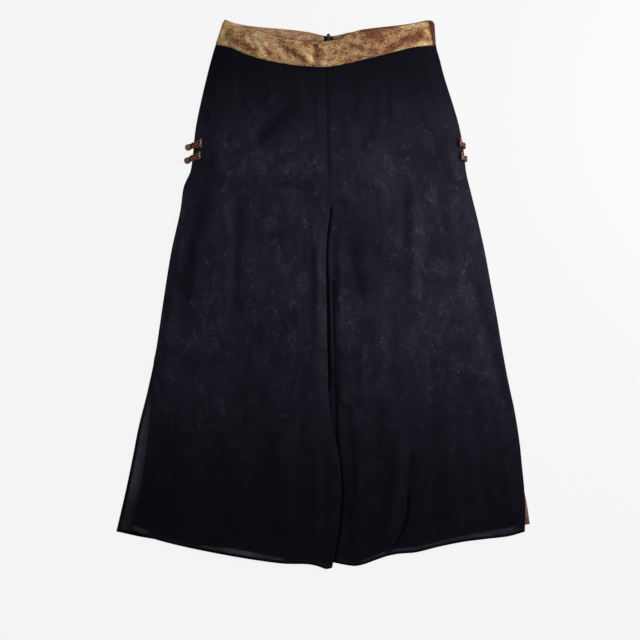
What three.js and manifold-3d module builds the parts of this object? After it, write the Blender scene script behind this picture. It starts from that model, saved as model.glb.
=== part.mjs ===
// Culottes laid flat on a table, front up. Two back leg panels lie on the table, two front leg panels lie
// on them, and a shaped lame waistband closes the top. The back waistband is split by a zip with a hinged
// pull tab. Two frog fasteners close each side at the hip, and both legs are slit at the side.
// Millimetres. +X is to the right, +Y runs from hem to waist, +Z stands off the table.
// The origin lies on the table under the middle of the garment. Left and right are as seen from above.
import * as THREE from "three";
import { mergeVertices } from "three/addons/utils/BufferGeometryUtils.js";
import Module from "manifold-3d";

const wasm = await Module();
wasm.setup();

// Cloth
const CLOTH = 1.4; // wall of a leg panel: sheer cloth and its lining
const BAND = 2.0; // wall of the interlined waistband
const TAPE = 1.0; // wall of a zip tape, and of the slit facing
const SEAM = 0.4; // gap between two pieces joined edge to edge
const REST = 0.3; // gap between a piece and what it lies on
const LOFT = 3.4; // how far the front stands off the back, away from the sides
const SIDE_FALL = 34; // width over which the front falls to the back at a side
const HEM_FALL = 70; // width over which the front falls to the back at the hem
const HEM_ROLL = 0.6; // extra thickness of the rolled hem
const HEM_WIDTH = 7;
const LEG_LENGTH = 860; // from the waist seam to the hem
const INNER_FALL = 16; // width over which a leg falls to the back at its inner edge
const UNDERLAP = 22; // width of the strip of the right leg that the left leg covers near the hem
const FOLD_INSET = 14; // folds fade out this near to a side
const BAND_STEP = { from: 360, over: 50 }; // where the front rises from the legs' wall to the band's

// Corners of the leg panels: y of the waist seam and of the hem at each edge
const LEFT_FRONT_ENDS = { outer: [419.6, -400], inner: [383.6, -463] };
const RIGHT_FRONT_ENDS = { outer: [421.1, -402], inner: [383.6, -454.5] };
const LEFT_BACK_ENDS = { outer: [419.1, -402], inner: [392.6, -444] };
const RIGHT_BACK_ENDS = { outer: [419.6, -389.5], inner: [392.6, -444] };

// Waistband's ends: x at its top edge and at its seam
const FRONT_BAND_LEFT = { topX: -169, seamX: -182 };
const FRONT_BAND_RIGHT = { topX: 187, seamX: 191 };
const BACK_BAND_LEFT = { topX: -167, seamX: -180 };
const BACK_BAND_RIGHT = { topX: 185, seamX: 189 };

// Zip
const ZIP_X = 9.1; // centre back
const ZIP_LENGTH = 200;
const TAPE_WIDTH = 7.2;
const TAPE_APART = 0.3; // from the zip's middle to each tape
const ZIP_TOP = 435.5;
const RECESS = 7.9; // the waistband is one layer thick this near the zip's middle
const PULL_ROOM = 1.7; // how far the waistband stands off the table over the pull tab
const PULL_RISE = { near: 5, fall: 16, from: 398, over: 16 }; // where it does, about the zip

// Frog fasteners
const CORD_R = 1.5; // rouleau
const KNOT_R = 4.2;
const STEM_R = 0.9;
const EYE_R = 3.6; // radius of the loop's eye, to the middle of the cord
const BAR_R = 1.8; // bar across the loop's ends
const BAR_REACH = 8.3; // half the bar's length
const MIDDLE_END = 6.8; // a left loop's middle cord ends this far from the knot's centre
const EYE_Z = CORD_R + REST + 0.8; // middle of the cord outside the left side
const KNOT_OVER_EYE = 5.7; // from there to the middle of a left knot
const CORD_OVER_CLOTH = CORD_R + REST + 0.25;
const STEM_Z = CLOTH + REST + STEM_R; // middle of a knot's stem on the back

// Side outlines, from the waist seam down. The front and back legs share them down to the slits.
const LEFT_SIDE = [
  { y: 464, x: -167 },
  { y: 419, x: -182.5 },
  { y: 382, x: -193 },
  { y: 328, x: -206 },
  { y: 287, x: -214.5 },
  { y: 260, x: -218 },
  { y: 241, x: -219.4 },
  { y: 222, x: -221.6 },
  { y: 206, x: -224.8 },
  { y: 193, x: -231 },
  { y: 179, x: -236.3 },
  { y: 139, x: -242 },
  { y: 71, x: -257 },
  { y: -10, x: -270 },
  { y: -91, x: -282 },
  { y: -118, x: -287 },
];
const RIGHT_SIDE = [
  { y: 462, x: 186.5 },
  { y: 419, x: 191.5 },
  { y: 395, x: 198 },
  { y: 368, x: 205 },
  { y: 314, x: 222 },
  { y: 287, x: 229.5 },
  { y: 255, x: 235.5 },
  { y: 206, x: 242 },
  { y: 179, x: 248.5 },
  { y: 125, x: 262 },
  { y: 71, x: 274 },
  { y: 17, x: 284 },
  { y: -37, x: 294 },
  { y: -91, x: 303 },
  { y: -145, x: 313 },
  { y: -199, x: 324.5 },
  { y: -253, x: 333 },
  { y: -290, x: 336 },
];
const LEFT_SLIT_FRONT = [
  { y: -179, x: -290 },
  { y: -220, x: -293.5 },
  { y: -260, x: -298 },
  { y: -323, x: -308 },
  { y: -400, x: -323 },
];
const LEFT_SLIT_BACK = [
  { y: -172, x: -299 },
  { y: -226, x: -312.5 },
  { y: -280, x: -323 },
  { y: -335, x: -334.5 },
  { y: -402, x: -350 },
];
const RIGHT_SLIT_FRONT = [
  { y: -330, x: 338.5 },
  { y: -370, x: 341 },
  { y: -402, x: 341 },
];
const RIGHT_SLIT_BACK = [
  { y: -318, x: 339.5 },
  { y: -366, x: 347 },
  { y: -389.5, x: 350 },
];
// The back's right side, drawn in beside the knots.
const RIGHT_SIDE_BACK_PULL = { y: 237, spread: 26, depth: 15 };

// Middle edges. Above the crotch both legs follow a seam, and below it the inner leg.
const CROTCH_Y = 139;
const CENTRE_FRONT = [
  { y: 384, x: 3.4 },
  { y: 260, x: 6.6 },
  { y: CROTCH_Y, x: 9.4 },
];
const INNER_LEFT_FRONT = [
  { y: CROTCH_Y, x: 9.4 },
  { y: 90, x: 5.2 },
  { y: -10, x: 6.6 },
  { y: -95, x: 8.2 },
  { y: -179, x: 10 },
  { y: -213, x: 14 },
  { y: -247, x: 21 },
  { y: -281, x: 28 },
  { y: -330, x: 31 },
  { y: -382, x: 28 },
  { y: -450, x: 18 },
  { y: -463, x: 15.5 },
];
const INNER_RIGHT_FRONT = [
  { y: CROTCH_Y, x: 9.4 },
  { y: 90, x: 9.6 },
  { y: -10, x: 9.4 },
  { y: -179, x: 12 },
  { y: -330, x: 15 },
  { y: -454.5, x: 18.5 },
];
const INNER_BACK = [
  { y: 436, x: ZIP_X },
  { y: CROTCH_Y, x: ZIP_X },
  { y: -179, x: 10.5 },
  { y: -444, x: 12 },
];
const OVERLAP_Y = -215; // below this the left leg's inner edge lies on the right leg

// Waist seams and the waistband's top edges, from left to right.
const FRONT_TOP = [
  { x: -169, y: 461 },
  { x: -159, y: 453.5 },
  { x: -137, y: 450.5 },
  { x: -121, y: 448.5 },
  { x: -99, y: 441.5 },
  { x: -78, y: 435 },
  { x: -56, y: 430 },
  { x: -24, y: 426.5 },
  { x: 9, y: 427.6 },
  { x: 30, y: 433 },
  { x: 56, y: 444.5 },
  { x: 86, y: 449.5 },
  { x: 127, y: 454 },
  { x: 157, y: 458.5 },
  { x: 178, y: 462.5 },
  { x: 187, y: 460.5 },
];
const FRONT_SEAM = [
  { x: -182, y: 420 },
  { x: -154, y: 414 },
  { x: -133, y: 406.5 },
  { x: -103, y: 397 },
  { x: -73, y: 391 },
  { x: -39, y: 386 },
  { x: 3.4, y: 384 },
  { x: 39, y: 389.5 },
  { x: 69, y: 396.5 },
  { x: 110, y: 406.5 },
  { x: 150, y: 416.5 },
  { x: 191, y: 421.5 },
];
const BACK_TOP = [
  { x: -167, y: 465 },
  { x: -157, y: 461.5 },
  { x: -137, y: 456 },
  { x: -106, y: 452 },
  { x: -66, y: 448.5 },
  { x: -25, y: 443.5 },
  { x: ZIP_X, y: 436 },
  { x: 26, y: 438.5 },
  { x: 46, y: 443 },
  { x: 86, y: 447 },
  { x: 127, y: 451 },
  { x: 185, y: 457.5 },
];
const BACK_SEAM = [
  { x: -180, y: 419.5 },
  { x: -133, y: 408 },
  { x: -66, y: 397 },
  { x: ZIP_X, y: 393 },
  { x: 86, y: 399 },
  { x: 140, y: 411 },
  { x: 189, y: 420 },
];

// Hems, from left to right.
const HEM_LEFT_FRONT = [
  { x: -323, y: -400 },
  { x: -301, y: -409 },
  { x: -267, y: -419.5 },
  { x: -218, y: -431 },
  { x: -167, y: -441 },
  { x: -117, y: -449.5 },
  { x: -66, y: -456 },
  { x: -25, y: -457 },
  { x: -8, y: -460.5 },
  { x: 5, y: -465 },
  { x: 15.5, y: -463 },
];
const HEM_RIGHT_FRONT = [
  { x: 18.5, y: -454.5 },
  { x: 51, y: -460 },
  { x: 68, y: -457.5 },
  { x: 86, y: -451 },
  { x: 108, y: -443.5 },
  { x: 128, y: -439.5 },
  { x: 157, y: -437 },
  { x: 198, y: -427 },
  { x: 239, y: -419 },
  { x: 279, y: -414 },
  { x: 315, y: -409.5 },
  { x: 341, y: -402 },
];
const HEM_LEFT_BACK = [
  { x: -350, y: -402 },
  { x: -301, y: -412.5 },
  { x: -250, y: -419 },
  { x: -174, y: -427 },
  { x: -81, y: -438 },
  { x: 12, y: -444 },
];
const HEM_RIGHT_BACK = [
  { x: 12, y: -444 },
  { x: 51, y: -446 },
  { x: 106, y: -432.5 },
  { x: 157, y: -424 },
  { x: 239, y: -406 },
  { x: 316, y: -394 },
  { x: 350, y: -389.5 },
];

// Folds of the front, each along a curve from one place by way of another to a third. A fold's height is
// rise at its middle, falls off over width to each side, and fades out at both ends.
const FOLDS = [
  { name: "left thigh ridge", from: [-160, 190], via: [-162, 74], to: [-163, -60], width: 11, rise: 2.4 },
  { name: "left thigh trough", from: [-145, 186], via: [-147, 66], to: [-149, -55], width: 10, rise: -2.4 },
  { name: "left side trough", from: [-198, 205], via: [-236, 54], to: [-243, -125], width: 13, rise: -2.6 },
  { name: "left side ridge", from: [-214, 176], via: [-251, 54], to: [-266, -95], width: 10, rise: 1.5 },
  { name: "right side trough", from: [214, 196], via: [262, -10], to: [318, -222], width: 12, rise: -2.4 },
  { name: "right side ridge", from: [196, 120], via: [238, -60], to: [288, -250], width: 16, rise: 1.8 },
  { name: "right thigh trough", from: [142, 190], via: [145, 91], to: [143, -12], width: 10, rise: -2.6 },
  { name: "right thigh ridge", from: [157, 190], via: [160, 91], to: [156, -18], width: 12, rise: 2.3 },
  { name: "left hip trough", from: [-40, 334], via: [-82, 300], to: [-122, 248], width: 11, rise: -2.6 },
  { name: "left hip ridge", from: [-62, 346], via: [-104, 312], to: [-142, 262], width: 11, rise: 2.0 },
  { name: "left crotch arc", from: [-98, 178], via: [-56, 208], to: [-14, 172], width: 10, rise: -2.2 },
  { name: "left crotch bulge", from: [-88, 158], via: [-56, 184], to: [-26, 152], width: 12, rise: 1.8 },
  { name: "right crotch arc", from: [24, 228], via: [74, 226], to: [76, 288], width: 11, rise: -2.0 },
  { name: "left knee arc", from: [-36, -40], via: [-90, -46], to: [-97, -156], width: 13, rise: -2.6 },
  { name: "left shin trough", from: [-97, -150], via: [-104, -246], to: [-102, -352], width: 14, rise: -2.0 },
  { name: "left shin ridge", from: [-70, -196], via: [-66, -300], to: [-62, -440], width: 16, rise: 1.9 },
  { name: "calf ridge", from: [-228, -180], via: [-236, -300], to: [-248, -416], width: 18, rise: 1.7 },
  { name: "calf trough", from: [-180, -200], via: [-188, -320], to: [-192, -430], width: 15, rise: -1.6 },
  { name: "right inner trough", from: [47, 106], via: [48, 32], to: [71, -22], width: 11, rise: -2.4 },
  { name: "right knee trough", from: [90, -165], via: [92, -236], to: [88, -304], width: 11, rise: -2.0 },
  { name: "right inseam trough", from: [38, -165], via: [46, -250], to: [49, -360], width: 8, rise: -2.3 },
  { name: "right hem trough", from: [145, -222], via: [150, -360], to: [110, -446], width: 9, rise: -3.0 },
  { name: "right hem ridge", from: [128, -214], via: [134, -352], to: [92, -456], width: 12, rise: 3.4 },
  { name: "right shin ridge", from: [206, -236], via: [216, -330], to: [222, -424], width: 18, rise: 1.8 },
  { name: "centre front groove", from: [3.4, 396], via: [6.6, 260], to: [9.4, 128], width: 6, rise: -1.4 },
];

// Small roll of the right leg beside the parting of the legs.
const ROLL = { from: [13, 60], via: [15, -60], to: [19, -190], width: 5, rise: 1.6 };

// Puckers of the waistband, along the same kind of curve.
const PUCKERS = [
  { name: "left end pucker", from: [-158, 444], via: [-146, 430], to: [-138, 414], width: 8, rise: 1.3 },
  { name: "left crease", from: [-92, 436], via: [-72, 420], to: [-58, 396], width: 8, rise: -1.3 },
  { name: "centre ridge", from: [-40, 424], via: [-30, 408], to: [-26, 390], width: 9, rise: 1.4 },
  { name: "centre crease", from: [-14, 426], via: [-12, 408], to: [-16, 388], width: 7, rise: -1.0 },
  { name: "right ridge", from: [44, 432], via: [70, 418], to: [104, 416], width: 9, rise: 1.2 },
  { name: "right crease", from: [92, 406], via: [118, 428], to: [176, 432], width: 9, rise: -1.5 },
];

// Places where something under the front lifts it: the knots, and the slit facing.
const LIFTS = [
  { name: "left knots", x: -217, y: 239, spreadX: 20, spreadY: 30, rise: 2.8 },
  { name: "right knots", x: 232, y: 238, spreadX: 26, spreadY: 32, rise: 8.6 },
  { name: "right facing", x: 342, y: -352, spreadX: 22, spreadY: 70, rise: 2.2 },
];

// Frog fasteners. A loop runs from its bar to its eye, and the knot sits on the eye.
const FROGS = [
  { name: "left_upper", bar: [-206.5, 254.8], knot: [-228.2, 248] },
  { name: "left_lower", bar: [-208.5, 235.2], knot: [-229.8, 225.6] },
  { name: "right_upper", bar: [232.2, 256], knot: [228.5, 248.2] },
  { name: "right_lower", bar: [234.4, 232.6], knot: [229.5, 226.6] },
];
const FACING = { width: 11, inset: 0.2, top: -306, bottom: -388.8 };

const MATERIALS = {
  shell: new THREE.MeshStandardMaterial({ color: 0x14141c, roughness: 0.6, metalness: 0 }),
  lame: new THREE.MeshStandardMaterial({ color: 0xa8814f, roughness: 0.45, metalness: 0.4 }),
  copper: new THREE.MeshStandardMaterial({ color: 0x8a5238, roughness: 0.45, metalness: 0.4 }),
  tape: new THREE.MeshStandardMaterial({ color: 0x0c0c0e, roughness: 0.9, metalness: 0 }),
  metal: new THREE.MeshStandardMaterial({ color: 0x3c4044, roughness: 0.35, metalness: 0.9 }),
};

// A number between a and b.
const mix = (a, b, t) => a + (b - a) * t;

// Eases from 0 to 1 as t goes from 0 to 1, and stays there.
function ease(t) {
  const s = Math.min(1, Math.max(0, t));
  return s * s * (3 - 2 * s);
}

// A smooth function through a table's rows, from the column named key to the column named value. Each
// stretch is a cubic whose end slopes are those between the neighbouring rows.
function through(table, key, value) {
  const rows = [...table].sort((a, b) => a[key] - b[key]);
  const last = rows.length - 1;
  const slope = (i) => {
    const a = rows[Math.max(0, i - 1)];
    const b = rows[Math.min(last, i + 1)];
    return (b[value] - a[value]) / (b[key] - a[key]);
  };
  return (at) => {
    let i = rows.findIndex((row) => row[key] > at) - 1;
    if (at >= rows[last][key]) return rows[last][value] + slope(last) * (at - rows[last][key]);
    if (i < 0) return rows[0][value] + slope(0) * (at - rows[0][key]);
    const [a, b] = [rows[i], rows[i + 1]];
    const span = b[key] - a[key];
    const t = (at - a[key]) / span;
    const [t2, t3] = [t * t, t * t * t];
    const stays = (2 * t3 - 3 * t2 + 1) * a[value] + (3 * t2 - 2 * t3) * b[value];
    return stays + ((t3 - 2 * t2 + t) * slope(i) + (t3 - t2) * slope(i + 1)) * span;
  };
}

const xOf = (table) => through(table, "y", "x");
const yOf = (table) => through(table, "x", "y");

const leftFront = xOf([...LEFT_SIDE, ...LEFT_SLIT_FRONT]);
const leftBack = xOf([...LEFT_SIDE, ...LEFT_SLIT_BACK]);
const rightFront = xOf([...RIGHT_SIDE, ...RIGHT_SLIT_FRONT]);
const rightBackDrawn = xOf([...RIGHT_SIDE, ...RIGHT_SLIT_BACK]);
const belowCrotch = (table) => {
  const [above, below] = [xOf(CENTRE_FRONT), xOf(table)];
  return (y) => (y > CROTCH_Y ? above(y) : below(y));
};
const innerLeftFront = belowCrotch(INNER_LEFT_FRONT);
const innerRightFront = belowCrotch(INNER_RIGHT_FRONT);
const innerBack = xOf(INNER_BACK);
const frontSeam = yOf(FRONT_SEAM);
const backSeam = yOf(BACK_SEAM);

function rightBack(y) {
  const off = (y - RIGHT_SIDE_BACK_PULL.y) / RIGHT_SIDE_BACK_PULL.spread;
  return rightBackDrawn(y) - RIGHT_SIDE_BACK_PULL.depth * Math.exp(-(off ** 4));
}

// A fold's height at a place: a soft ridge or trough along a curve of straight stretches.
const FOLD_STRETCHES = 14;
function foldCurve(fold) {
  const curve = new THREE.QuadraticBezierCurve(
    new THREE.Vector2(...fold.from),
    new THREE.Vector2(...fold.via),
    new THREE.Vector2(...fold.to),
  );
  return curve.getPoints(FOLD_STRETCHES);
}

function foldHeight(fold, x, y) {
  fold.points ??= foldCurve(fold);
  let nearest = Infinity;
  let along = 0;
  for (let i = 0; i < FOLD_STRETCHES; i++) {
    const [a, b] = [fold.points[i], fold.points[i + 1]];
    const [dx, dy] = [b.x - a.x, b.y - a.y];
    const t = Math.min(1, Math.max(0, ((x - a.x) * dx + (y - a.y) * dy) / (dx * dx + dy * dy)));
    const d = Math.hypot(x - a.x - t * dx, y - a.y - t * dy);
    if (d < nearest) [nearest, along] = [d, (i + t) / FOLD_STRETCHES];
  }
  const fade = ease(along * 4) * ease((1 - along) * 4);
  return fold.rise * fade * Math.exp(-((nearest / fold.width) ** 2));
}

const sumOf = (folds, x, y) => folds.reduce((sum, fold) => sum + foldHeight(fold, x, y), 0);

function liftAt(x, y) {
  const one = (lift) =>
    lift.rise * Math.exp(-(((x - lift.x) / lift.spreadX) ** 2) - ((y - lift.y) / lift.spreadY) ** 2);
  return LIFTS.reduce((sum, lift) => sum + one(lift), 0);
}

// The back waistband stands off the table over the pull tab, beside the centre back.
function bandRise(x, y) {
  const { near, fall, from, over } = PULL_RISE;
  return PULL_ROOM * (1 - ease((Math.abs(x - ZIP_X) - near) / fall)) * ease((y - from) / over);
}

// The front's underside over the back: it rises from each side to the loft, and folds add to it.
function frontFloor(x, y) {
  const inside = Math.min(x - leftFront(y), rightFront(y) - x);
  const lowest = mix(CLOTH + REST, BAND + REST, ease((y - BAND_STEP.from) / BAND_STEP.over));
  const loft = LOFT * ease(inside / SIDE_FALL + 0.12);
  return Math.max(lowest, lowest + loft + sumOf(FOLDS, x, y) * ease(inside / FOLD_INSET));
}

const hemLeftFront = yOf(HEM_LEFT_FRONT);
const hemRightFront = yOf(HEM_RIGHT_FRONT);

// A leg also falls to the back at the hem and, below the crotch, at its inner edge.
function legFloor(x, y, inner, hem, innerLevel) {
  const hemShare = mix(0.3, 1, ease((y - hem) / HEM_FALL));
  const lowest = CLOTH + REST;
  const open = lowest + (frontFloor(x, y) - lowest) * hemShare;
  const below = ease((CROTCH_Y + 12 - y) / 60);
  const fall = (1 - ease(inner / INNER_FALL)) * below;
  return Math.max(lowest, mix(open, innerLevel, fall)) + liftAt(x, y);
}

// Where the left leg's inner edge lies on the right leg, it clears that leg's wall.
const leftFloor = (x, y) => {
  const over = ease((OVERLAP_Y + 50 - y) / 45);
  const level = mix(CLOTH + REST, 2 * (CLOTH + REST) + 0.5, over);
  return Math.max(level * over, legFloor(x, y, innerLeftFront(y) - x, hemLeftFront(x), level));
};

// The right leg's inner edge stays low under the left leg's, with a small roll beside the parting.
const rightFloor = (x, y) => {
  const under = UNDERLAP * ease((OVERLAP_Y + 60 - y) / 50);
  const inner = x - innerRightFront(y) - mix(6, under, ease((OVERLAP_Y + 60 - y) / 50));
  return legFloor(x, y, inner, hemRightFront(x), CLOTH + REST) + foldHeight(ROLL, x, y);
};

// A patch between four edges: two sides given as x by y, and two ends given as y by x. Each point is the
// sum of the two ruled surfaces less the one through the corners.
function patch({ outer, inner, top, bottom, outerEnds, innerEnds }) {
  const side = (edge, ends, v) => {
    const y = mix(ends[0], ends[1], v);
    return [edge(y), y];
  };
  const corners = [0, 1].map((v) => [side(outer, outerEnds, v), side(inner, innerEnds, v)]);
  return (u, v) => {
    const [a, b] = [side(outer, outerEnds, v), side(inner, innerEnds, v)];
    const xTop = mix(corners[0][0][0], corners[0][1][0], u);
    const xBottom = mix(corners[1][0][0], corners[1][1][0], u);
    const [c, d] = [
      [xTop, top(xTop)],
      [xBottom, bottom(xBottom)],
    ];
    return [0, 1].map((k) => {
      const [first, last] = corners.map((pair) => mix(pair[0][k], pair[1][k], u));
      return mix(a[k], b[k], u) + mix(c[k], d[k], v) - mix(first, last, v);
    });
  };
}

// A closed wall over a patch: place(u, v) gives [x, y], and low and high its two faces.
function wall(place, us, vs, low, high) {
  const across = us.length;
  const down = vs.length;
  const positions = [];
  for (const face of [high, low])
    for (const v of vs)
      for (const u of us) {
        const [x, y] = place(u, v);
        positions.push(x, y, face(x, y, u, v));
      }
  const at = (face, j, i) => face * across * down + j * across + i;
  const index = [];
  const quad = (a, b, c, d) => index.push(a, b, c, a, c, d);
  for (let j = 0; j < down - 1; j++)
    for (let i = 0; i < across - 1; i++) {
      quad(at(0, j, i), at(0, j + 1, i), at(0, j + 1, i + 1), at(0, j, i + 1));
      quad(at(1, j, i), at(1, j, i + 1), at(1, j + 1, i + 1), at(1, j + 1, i));
    }
  for (let j = 0; j < down - 1; j++) {
    quad(at(0, j, 0), at(1, j, 0), at(1, j + 1, 0), at(0, j + 1, 0));
    quad(at(0, j + 1, across - 1), at(1, j + 1, across - 1), at(1, j, across - 1), at(0, j, across - 1));
  }
  for (let i = 0; i < across - 1; i++) {
    quad(at(0, 0, i + 1), at(1, 0, i + 1), at(1, 0, i), at(0, 0, i));
    quad(at(0, down - 1, i), at(1, down - 1, i), at(1, down - 1, i + 1), at(0, down - 1, i + 1));
  }
  const geometry = new THREE.BufferGeometry();
  geometry.setAttribute("position", new THREE.Float32BufferAttribute(positions, 3));
  geometry.setIndex(index);
  return facingOut(geometry);
}

// Turns a closed geometry's faces outwards: its signed volume is positive when they already are.
function facingOut(geometry) {
  const p = geometry.getAttribute("position");
  const index = geometry.getIndex();
  const [a, b, c] = [new THREE.Vector3(), new THREE.Vector3(), new THREE.Vector3()];
  let volume = 0;
  for (let i = 0; i < index.count; i += 3) {
    a.fromBufferAttribute(p, index.getX(i));
    b.fromBufferAttribute(p, index.getX(i + 1));
    c.fromBufferAttribute(p, index.getX(i + 2));
    volume += a.dot(b.cross(c));
  }
  if (volume < 0)
    for (let i = 0; i < index.count; i += 3) {
      const keep = index.getX(i + 1);
      index.setX(i + 1, index.getX(i + 2));
      index.setX(i + 2, keep);
    }
  geometry.computeVertexNormals();
  return geometry;
}

// Evenly spaced values from 0 to 1, closer together at the ends by the given share.
function spaced(count, crowd = 0) {
  return Array.from({ length: count + 1 }, (_, i) => {
    const t = i / count;
    return mix(t, ease(t), crowd);
  });
}

// A geometry as a solid, and a solid as a geometry.
function solidOf(geometry) {
  const bare = geometry.index ? geometry.toNonIndexed() : geometry.clone();
  bare.deleteAttribute("normal");
  bare.deleteAttribute("uv");
  const merged = mergeVertices(bare, 1e-4);
  const mesh = new wasm.Mesh({
    numProp: 3,
    vertProperties: merged.getAttribute("position").array,
    triVerts: new Uint32Array(merged.index.array),
  });
  return new wasm.Manifold(mesh);
}

function geometryOf(solid) {
  const mesh = solid.getMesh();
  const geometry = new THREE.BufferGeometry();
  geometry.setAttribute("position", new THREE.BufferAttribute(mesh.vertProperties, 3));
  geometry.setIndex(new THREE.BufferAttribute(mesh.triVerts, 1));
  geometry.computeVertexNormals();
  return geometry;
}

const joined = (...geometries) =>
  geometryOf(geometries.map(solidOf).reduce((whole, piece) => whole.add(piece)));

const part = new THREE.Group();
part.name = "culottes";

function place(name, geometry, material) {
  const mesh = new THREE.Mesh(geometry, material);
  mesh.name = name;
  part.add(mesh);
}

// Leg panels
const FRONT_ACROSS = 21;
const FRONT_DOWN = 30;
const BACK_ACROSS = 8;
const BACK_DOWN = 22;
const FROG_ROWS = [270, 262, 254, 246, 238, 230, 222, 214, 206]; // more rows where the frogs are
const HEM_ROWS = [1 - HEM_WIDTH / LEG_LENGTH, 1]; // the rolled hem's two rows

const hemAdds = (v) => (v >= HEM_ROWS[0] - 1e-6 ? HEM_ROLL : 0);

// Rows down a leg: even ones, those beside the frogs, and the hem's.
function rowsOf({ outer: [first, last] }, count) {
  const share = (y) => (first - y) / (first - last);
  const [high, low] = [share(FROG_ROWS[0]) - 0.01, share(FROG_ROWS.at(-1)) + 0.01];
  const even = spaced(count).slice(0, -1).filter((v) => v < high || v > low);
  return [...even, ...FROG_ROWS.map(share), ...HEM_ROWS].sort((a, b) => a - b);
}

const cutOf = (edges, ends) => patch({ ...edges, outerEnds: ends.outer, innerEnds: ends.inner });

function frontLeg(name, ends, edges, floor) {
  const top = (x, y, u, v) => floor(x, y) + CLOTH + hemAdds(v);
  const downs = rowsOf(ends, FRONT_DOWN);
  place(name, wall(cutOf(edges, ends), spaced(FRONT_ACROSS, 0.25), downs, floor, top), MATERIALS.shell);
}

function backLeg(name, ends, edges) {
  const [low, high] = [() => 0, () => CLOTH];
  const downs = rowsOf(ends, BACK_DOWN);
  place(name, wall(cutOf(edges, ends), spaced(BACK_ACROSS), downs, low, high), MATERIALS.shell);
}

const HALF_SEAM = SEAM / 2;
const under = (seam) => (x) => seam(x) - SEAM;

const leftFrontEdges = {
  outer: leftFront,
  inner: (y) => innerLeftFront(y) - HALF_SEAM,
  top: under(frontSeam),
  bottom: hemLeftFront,
};
const rightFrontEdges = {
  outer: rightFront,
  inner: (y) => innerRightFront(y) + HALF_SEAM,
  top: under(frontSeam),
  bottom: hemRightFront,
};
const leftBackEdges = {
  outer: leftBack,
  inner: (y) => innerBack(y) - HALF_SEAM,
  top: under(backSeam),
  bottom: yOf(HEM_LEFT_BACK),
};
const rightBackEdges = {
  outer: rightBack,
  inner: (y) => innerBack(y) + HALF_SEAM,
  top: under(backSeam),
  bottom: yOf(HEM_RIGHT_BACK),
};
frontLeg("front_leg_left", LEFT_FRONT_ENDS, leftFrontEdges, leftFloor);
frontLeg("front_leg_right", RIGHT_FRONT_ENDS, rightFrontEdges, rightFloor);
backLeg("back_leg_left", LEFT_BACK_ENDS, leftBackEdges);
backLeg("back_leg_right", RIGHT_BACK_ENDS, rightBackEdges);

// Waistband. A band lies between its top edge and its seam, with straight ends.
function band(name, { ends, top, seam, across, down, low, high }) {
  const [a, b] = ends;
  const edge = ({ topX, seamX }) => (y) => mix(seamX, topX, (y - seam(seamX)) / (top(topX) - seam(seamX)));
  const edges = {
    outer: edge(a),
    inner: edge(b),
    top,
    bottom: seam,
    outerEnds: [top(a.topX), seam(a.seamX)],
    innerEnds: [top(b.topX), seam(b.seamX)],
  };
  place(name, wall(patch(edges), across, spaced(down), low, high), MATERIALS.lame);
}

const bandFloor = (x, y) => {
  const fromEnd = Math.min(x - FRONT_BAND_LEFT.seamX - 4, FRONT_BAND_RIGHT.seamX - 1 - x);
  const puckers = sumOf(PUCKERS, x, y) * ease(fromEnd / 16);
  return Math.max(BAND + REST, frontFloor(x, y) + puckers);
};
band("waistband_front", {
  ends: [FRONT_BAND_LEFT, FRONT_BAND_RIGHT],
  top: yOf(FRONT_TOP),
  seam: frontSeam,
  across: spaced(44, 0.15),
  down: 5,
  low: bandFloor,
  high: (x, y) => bandFloor(x, y) + BAND,
});

// Each back half is one layer thick beside the zip, where the tape lies in the recess.
function backBand(name, side, ends) {
  const width = Math.abs(ends[1].seamX - ends[0].seamX);
  const near = [0, 3, 6, RECESS, RECESS + 0.4, 14, 22, 34].map((d) => 1 - d / width).reverse();
  const far = spaced(9).map((t) => t * (near[0] - 0.02));
  band(name, {
    ends,
    top: yOf(BACK_TOP),
    seam: backSeam,
    across: [...far, ...near],
    down: 4,
    low: bandRise,
    high: (x, y) => bandRise(x, y) + (side * (x - ZIP_X) < RECESS + 0.2 ? BAND - TAPE : BAND),
  });
}
const atZip = (side) => ({ topX: ZIP_X + side * HALF_SEAM, seamX: ZIP_X + side * HALF_SEAM });
backBand("waistband_back_left", -1, [BACK_BAND_LEFT, atZip(-1)]);
backBand("waistband_back_right", 1, [BACK_BAND_RIGHT, atZip(1)]);

// Zip tapes, on the inside of the back
const backTop = yOf(BACK_TOP);
function tapeLow(x, y) {
  const overBand = BAND - TAPE + bandRise(ZIP_X, y) + REST;
  return Math.max(overBand, CLOTH + REST);
}
for (const [name, side] of [
  ["zip_tape_left", -1],
  ["zip_tape_right", 1],
]) {
  const nearX = ZIP_X + side * TAPE_APART;
  const top = Math.min(ZIP_TOP, backTop(nearX));
  const tape = (u, v) => [nearX + side * TAPE_WIDTH * u, mix(top, ZIP_TOP - ZIP_LENGTH, v)];
  const downs = [0, 0.03, 0.06, 0.09, 0.12, 0.15, 0.18, 0.21, 0.4, 0.6, 0.8, 1];
  place(name, wall(tape, [0, 0.5, 1], downs, tapeLow, (x, y) => tapeLow(x, y) + TAPE), MATERIALS.tape);
}

// Slider: a rounded plate over the tapes, with two cheeks and a pin that carry the pull tab
const SLIDER_LOW = tapeLow(ZIP_X, ZIP_TOP) + TAPE + REST;
const SLIDER_THICK = 1.8;
const SLIDER = { top: 440.0, bottom: 428.6, halfTop: 2.9, halfBottom: 2.1 };
const PIN = { y: 438.0, z: 2.1, r: 0.5 };
const CHEEK = { inner: 2.0, outer: 2.9, half: 1.2 };
const TAB = { low: 0.35, high: 1.25, half: 2.3, tip: 418.8, eyeR: 1.6, holeR: 0.85, eyeHalf: 1.6 };
const ROUND = 16;

function cylinderAlongX(radius, halfLength, y, z) {
  return new THREE.CylinderGeometry(radius, radius, 2 * halfLength, ROUND)
    .rotateZ(Math.PI / 2)
    .translate(ZIP_X, y, z);
}

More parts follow.
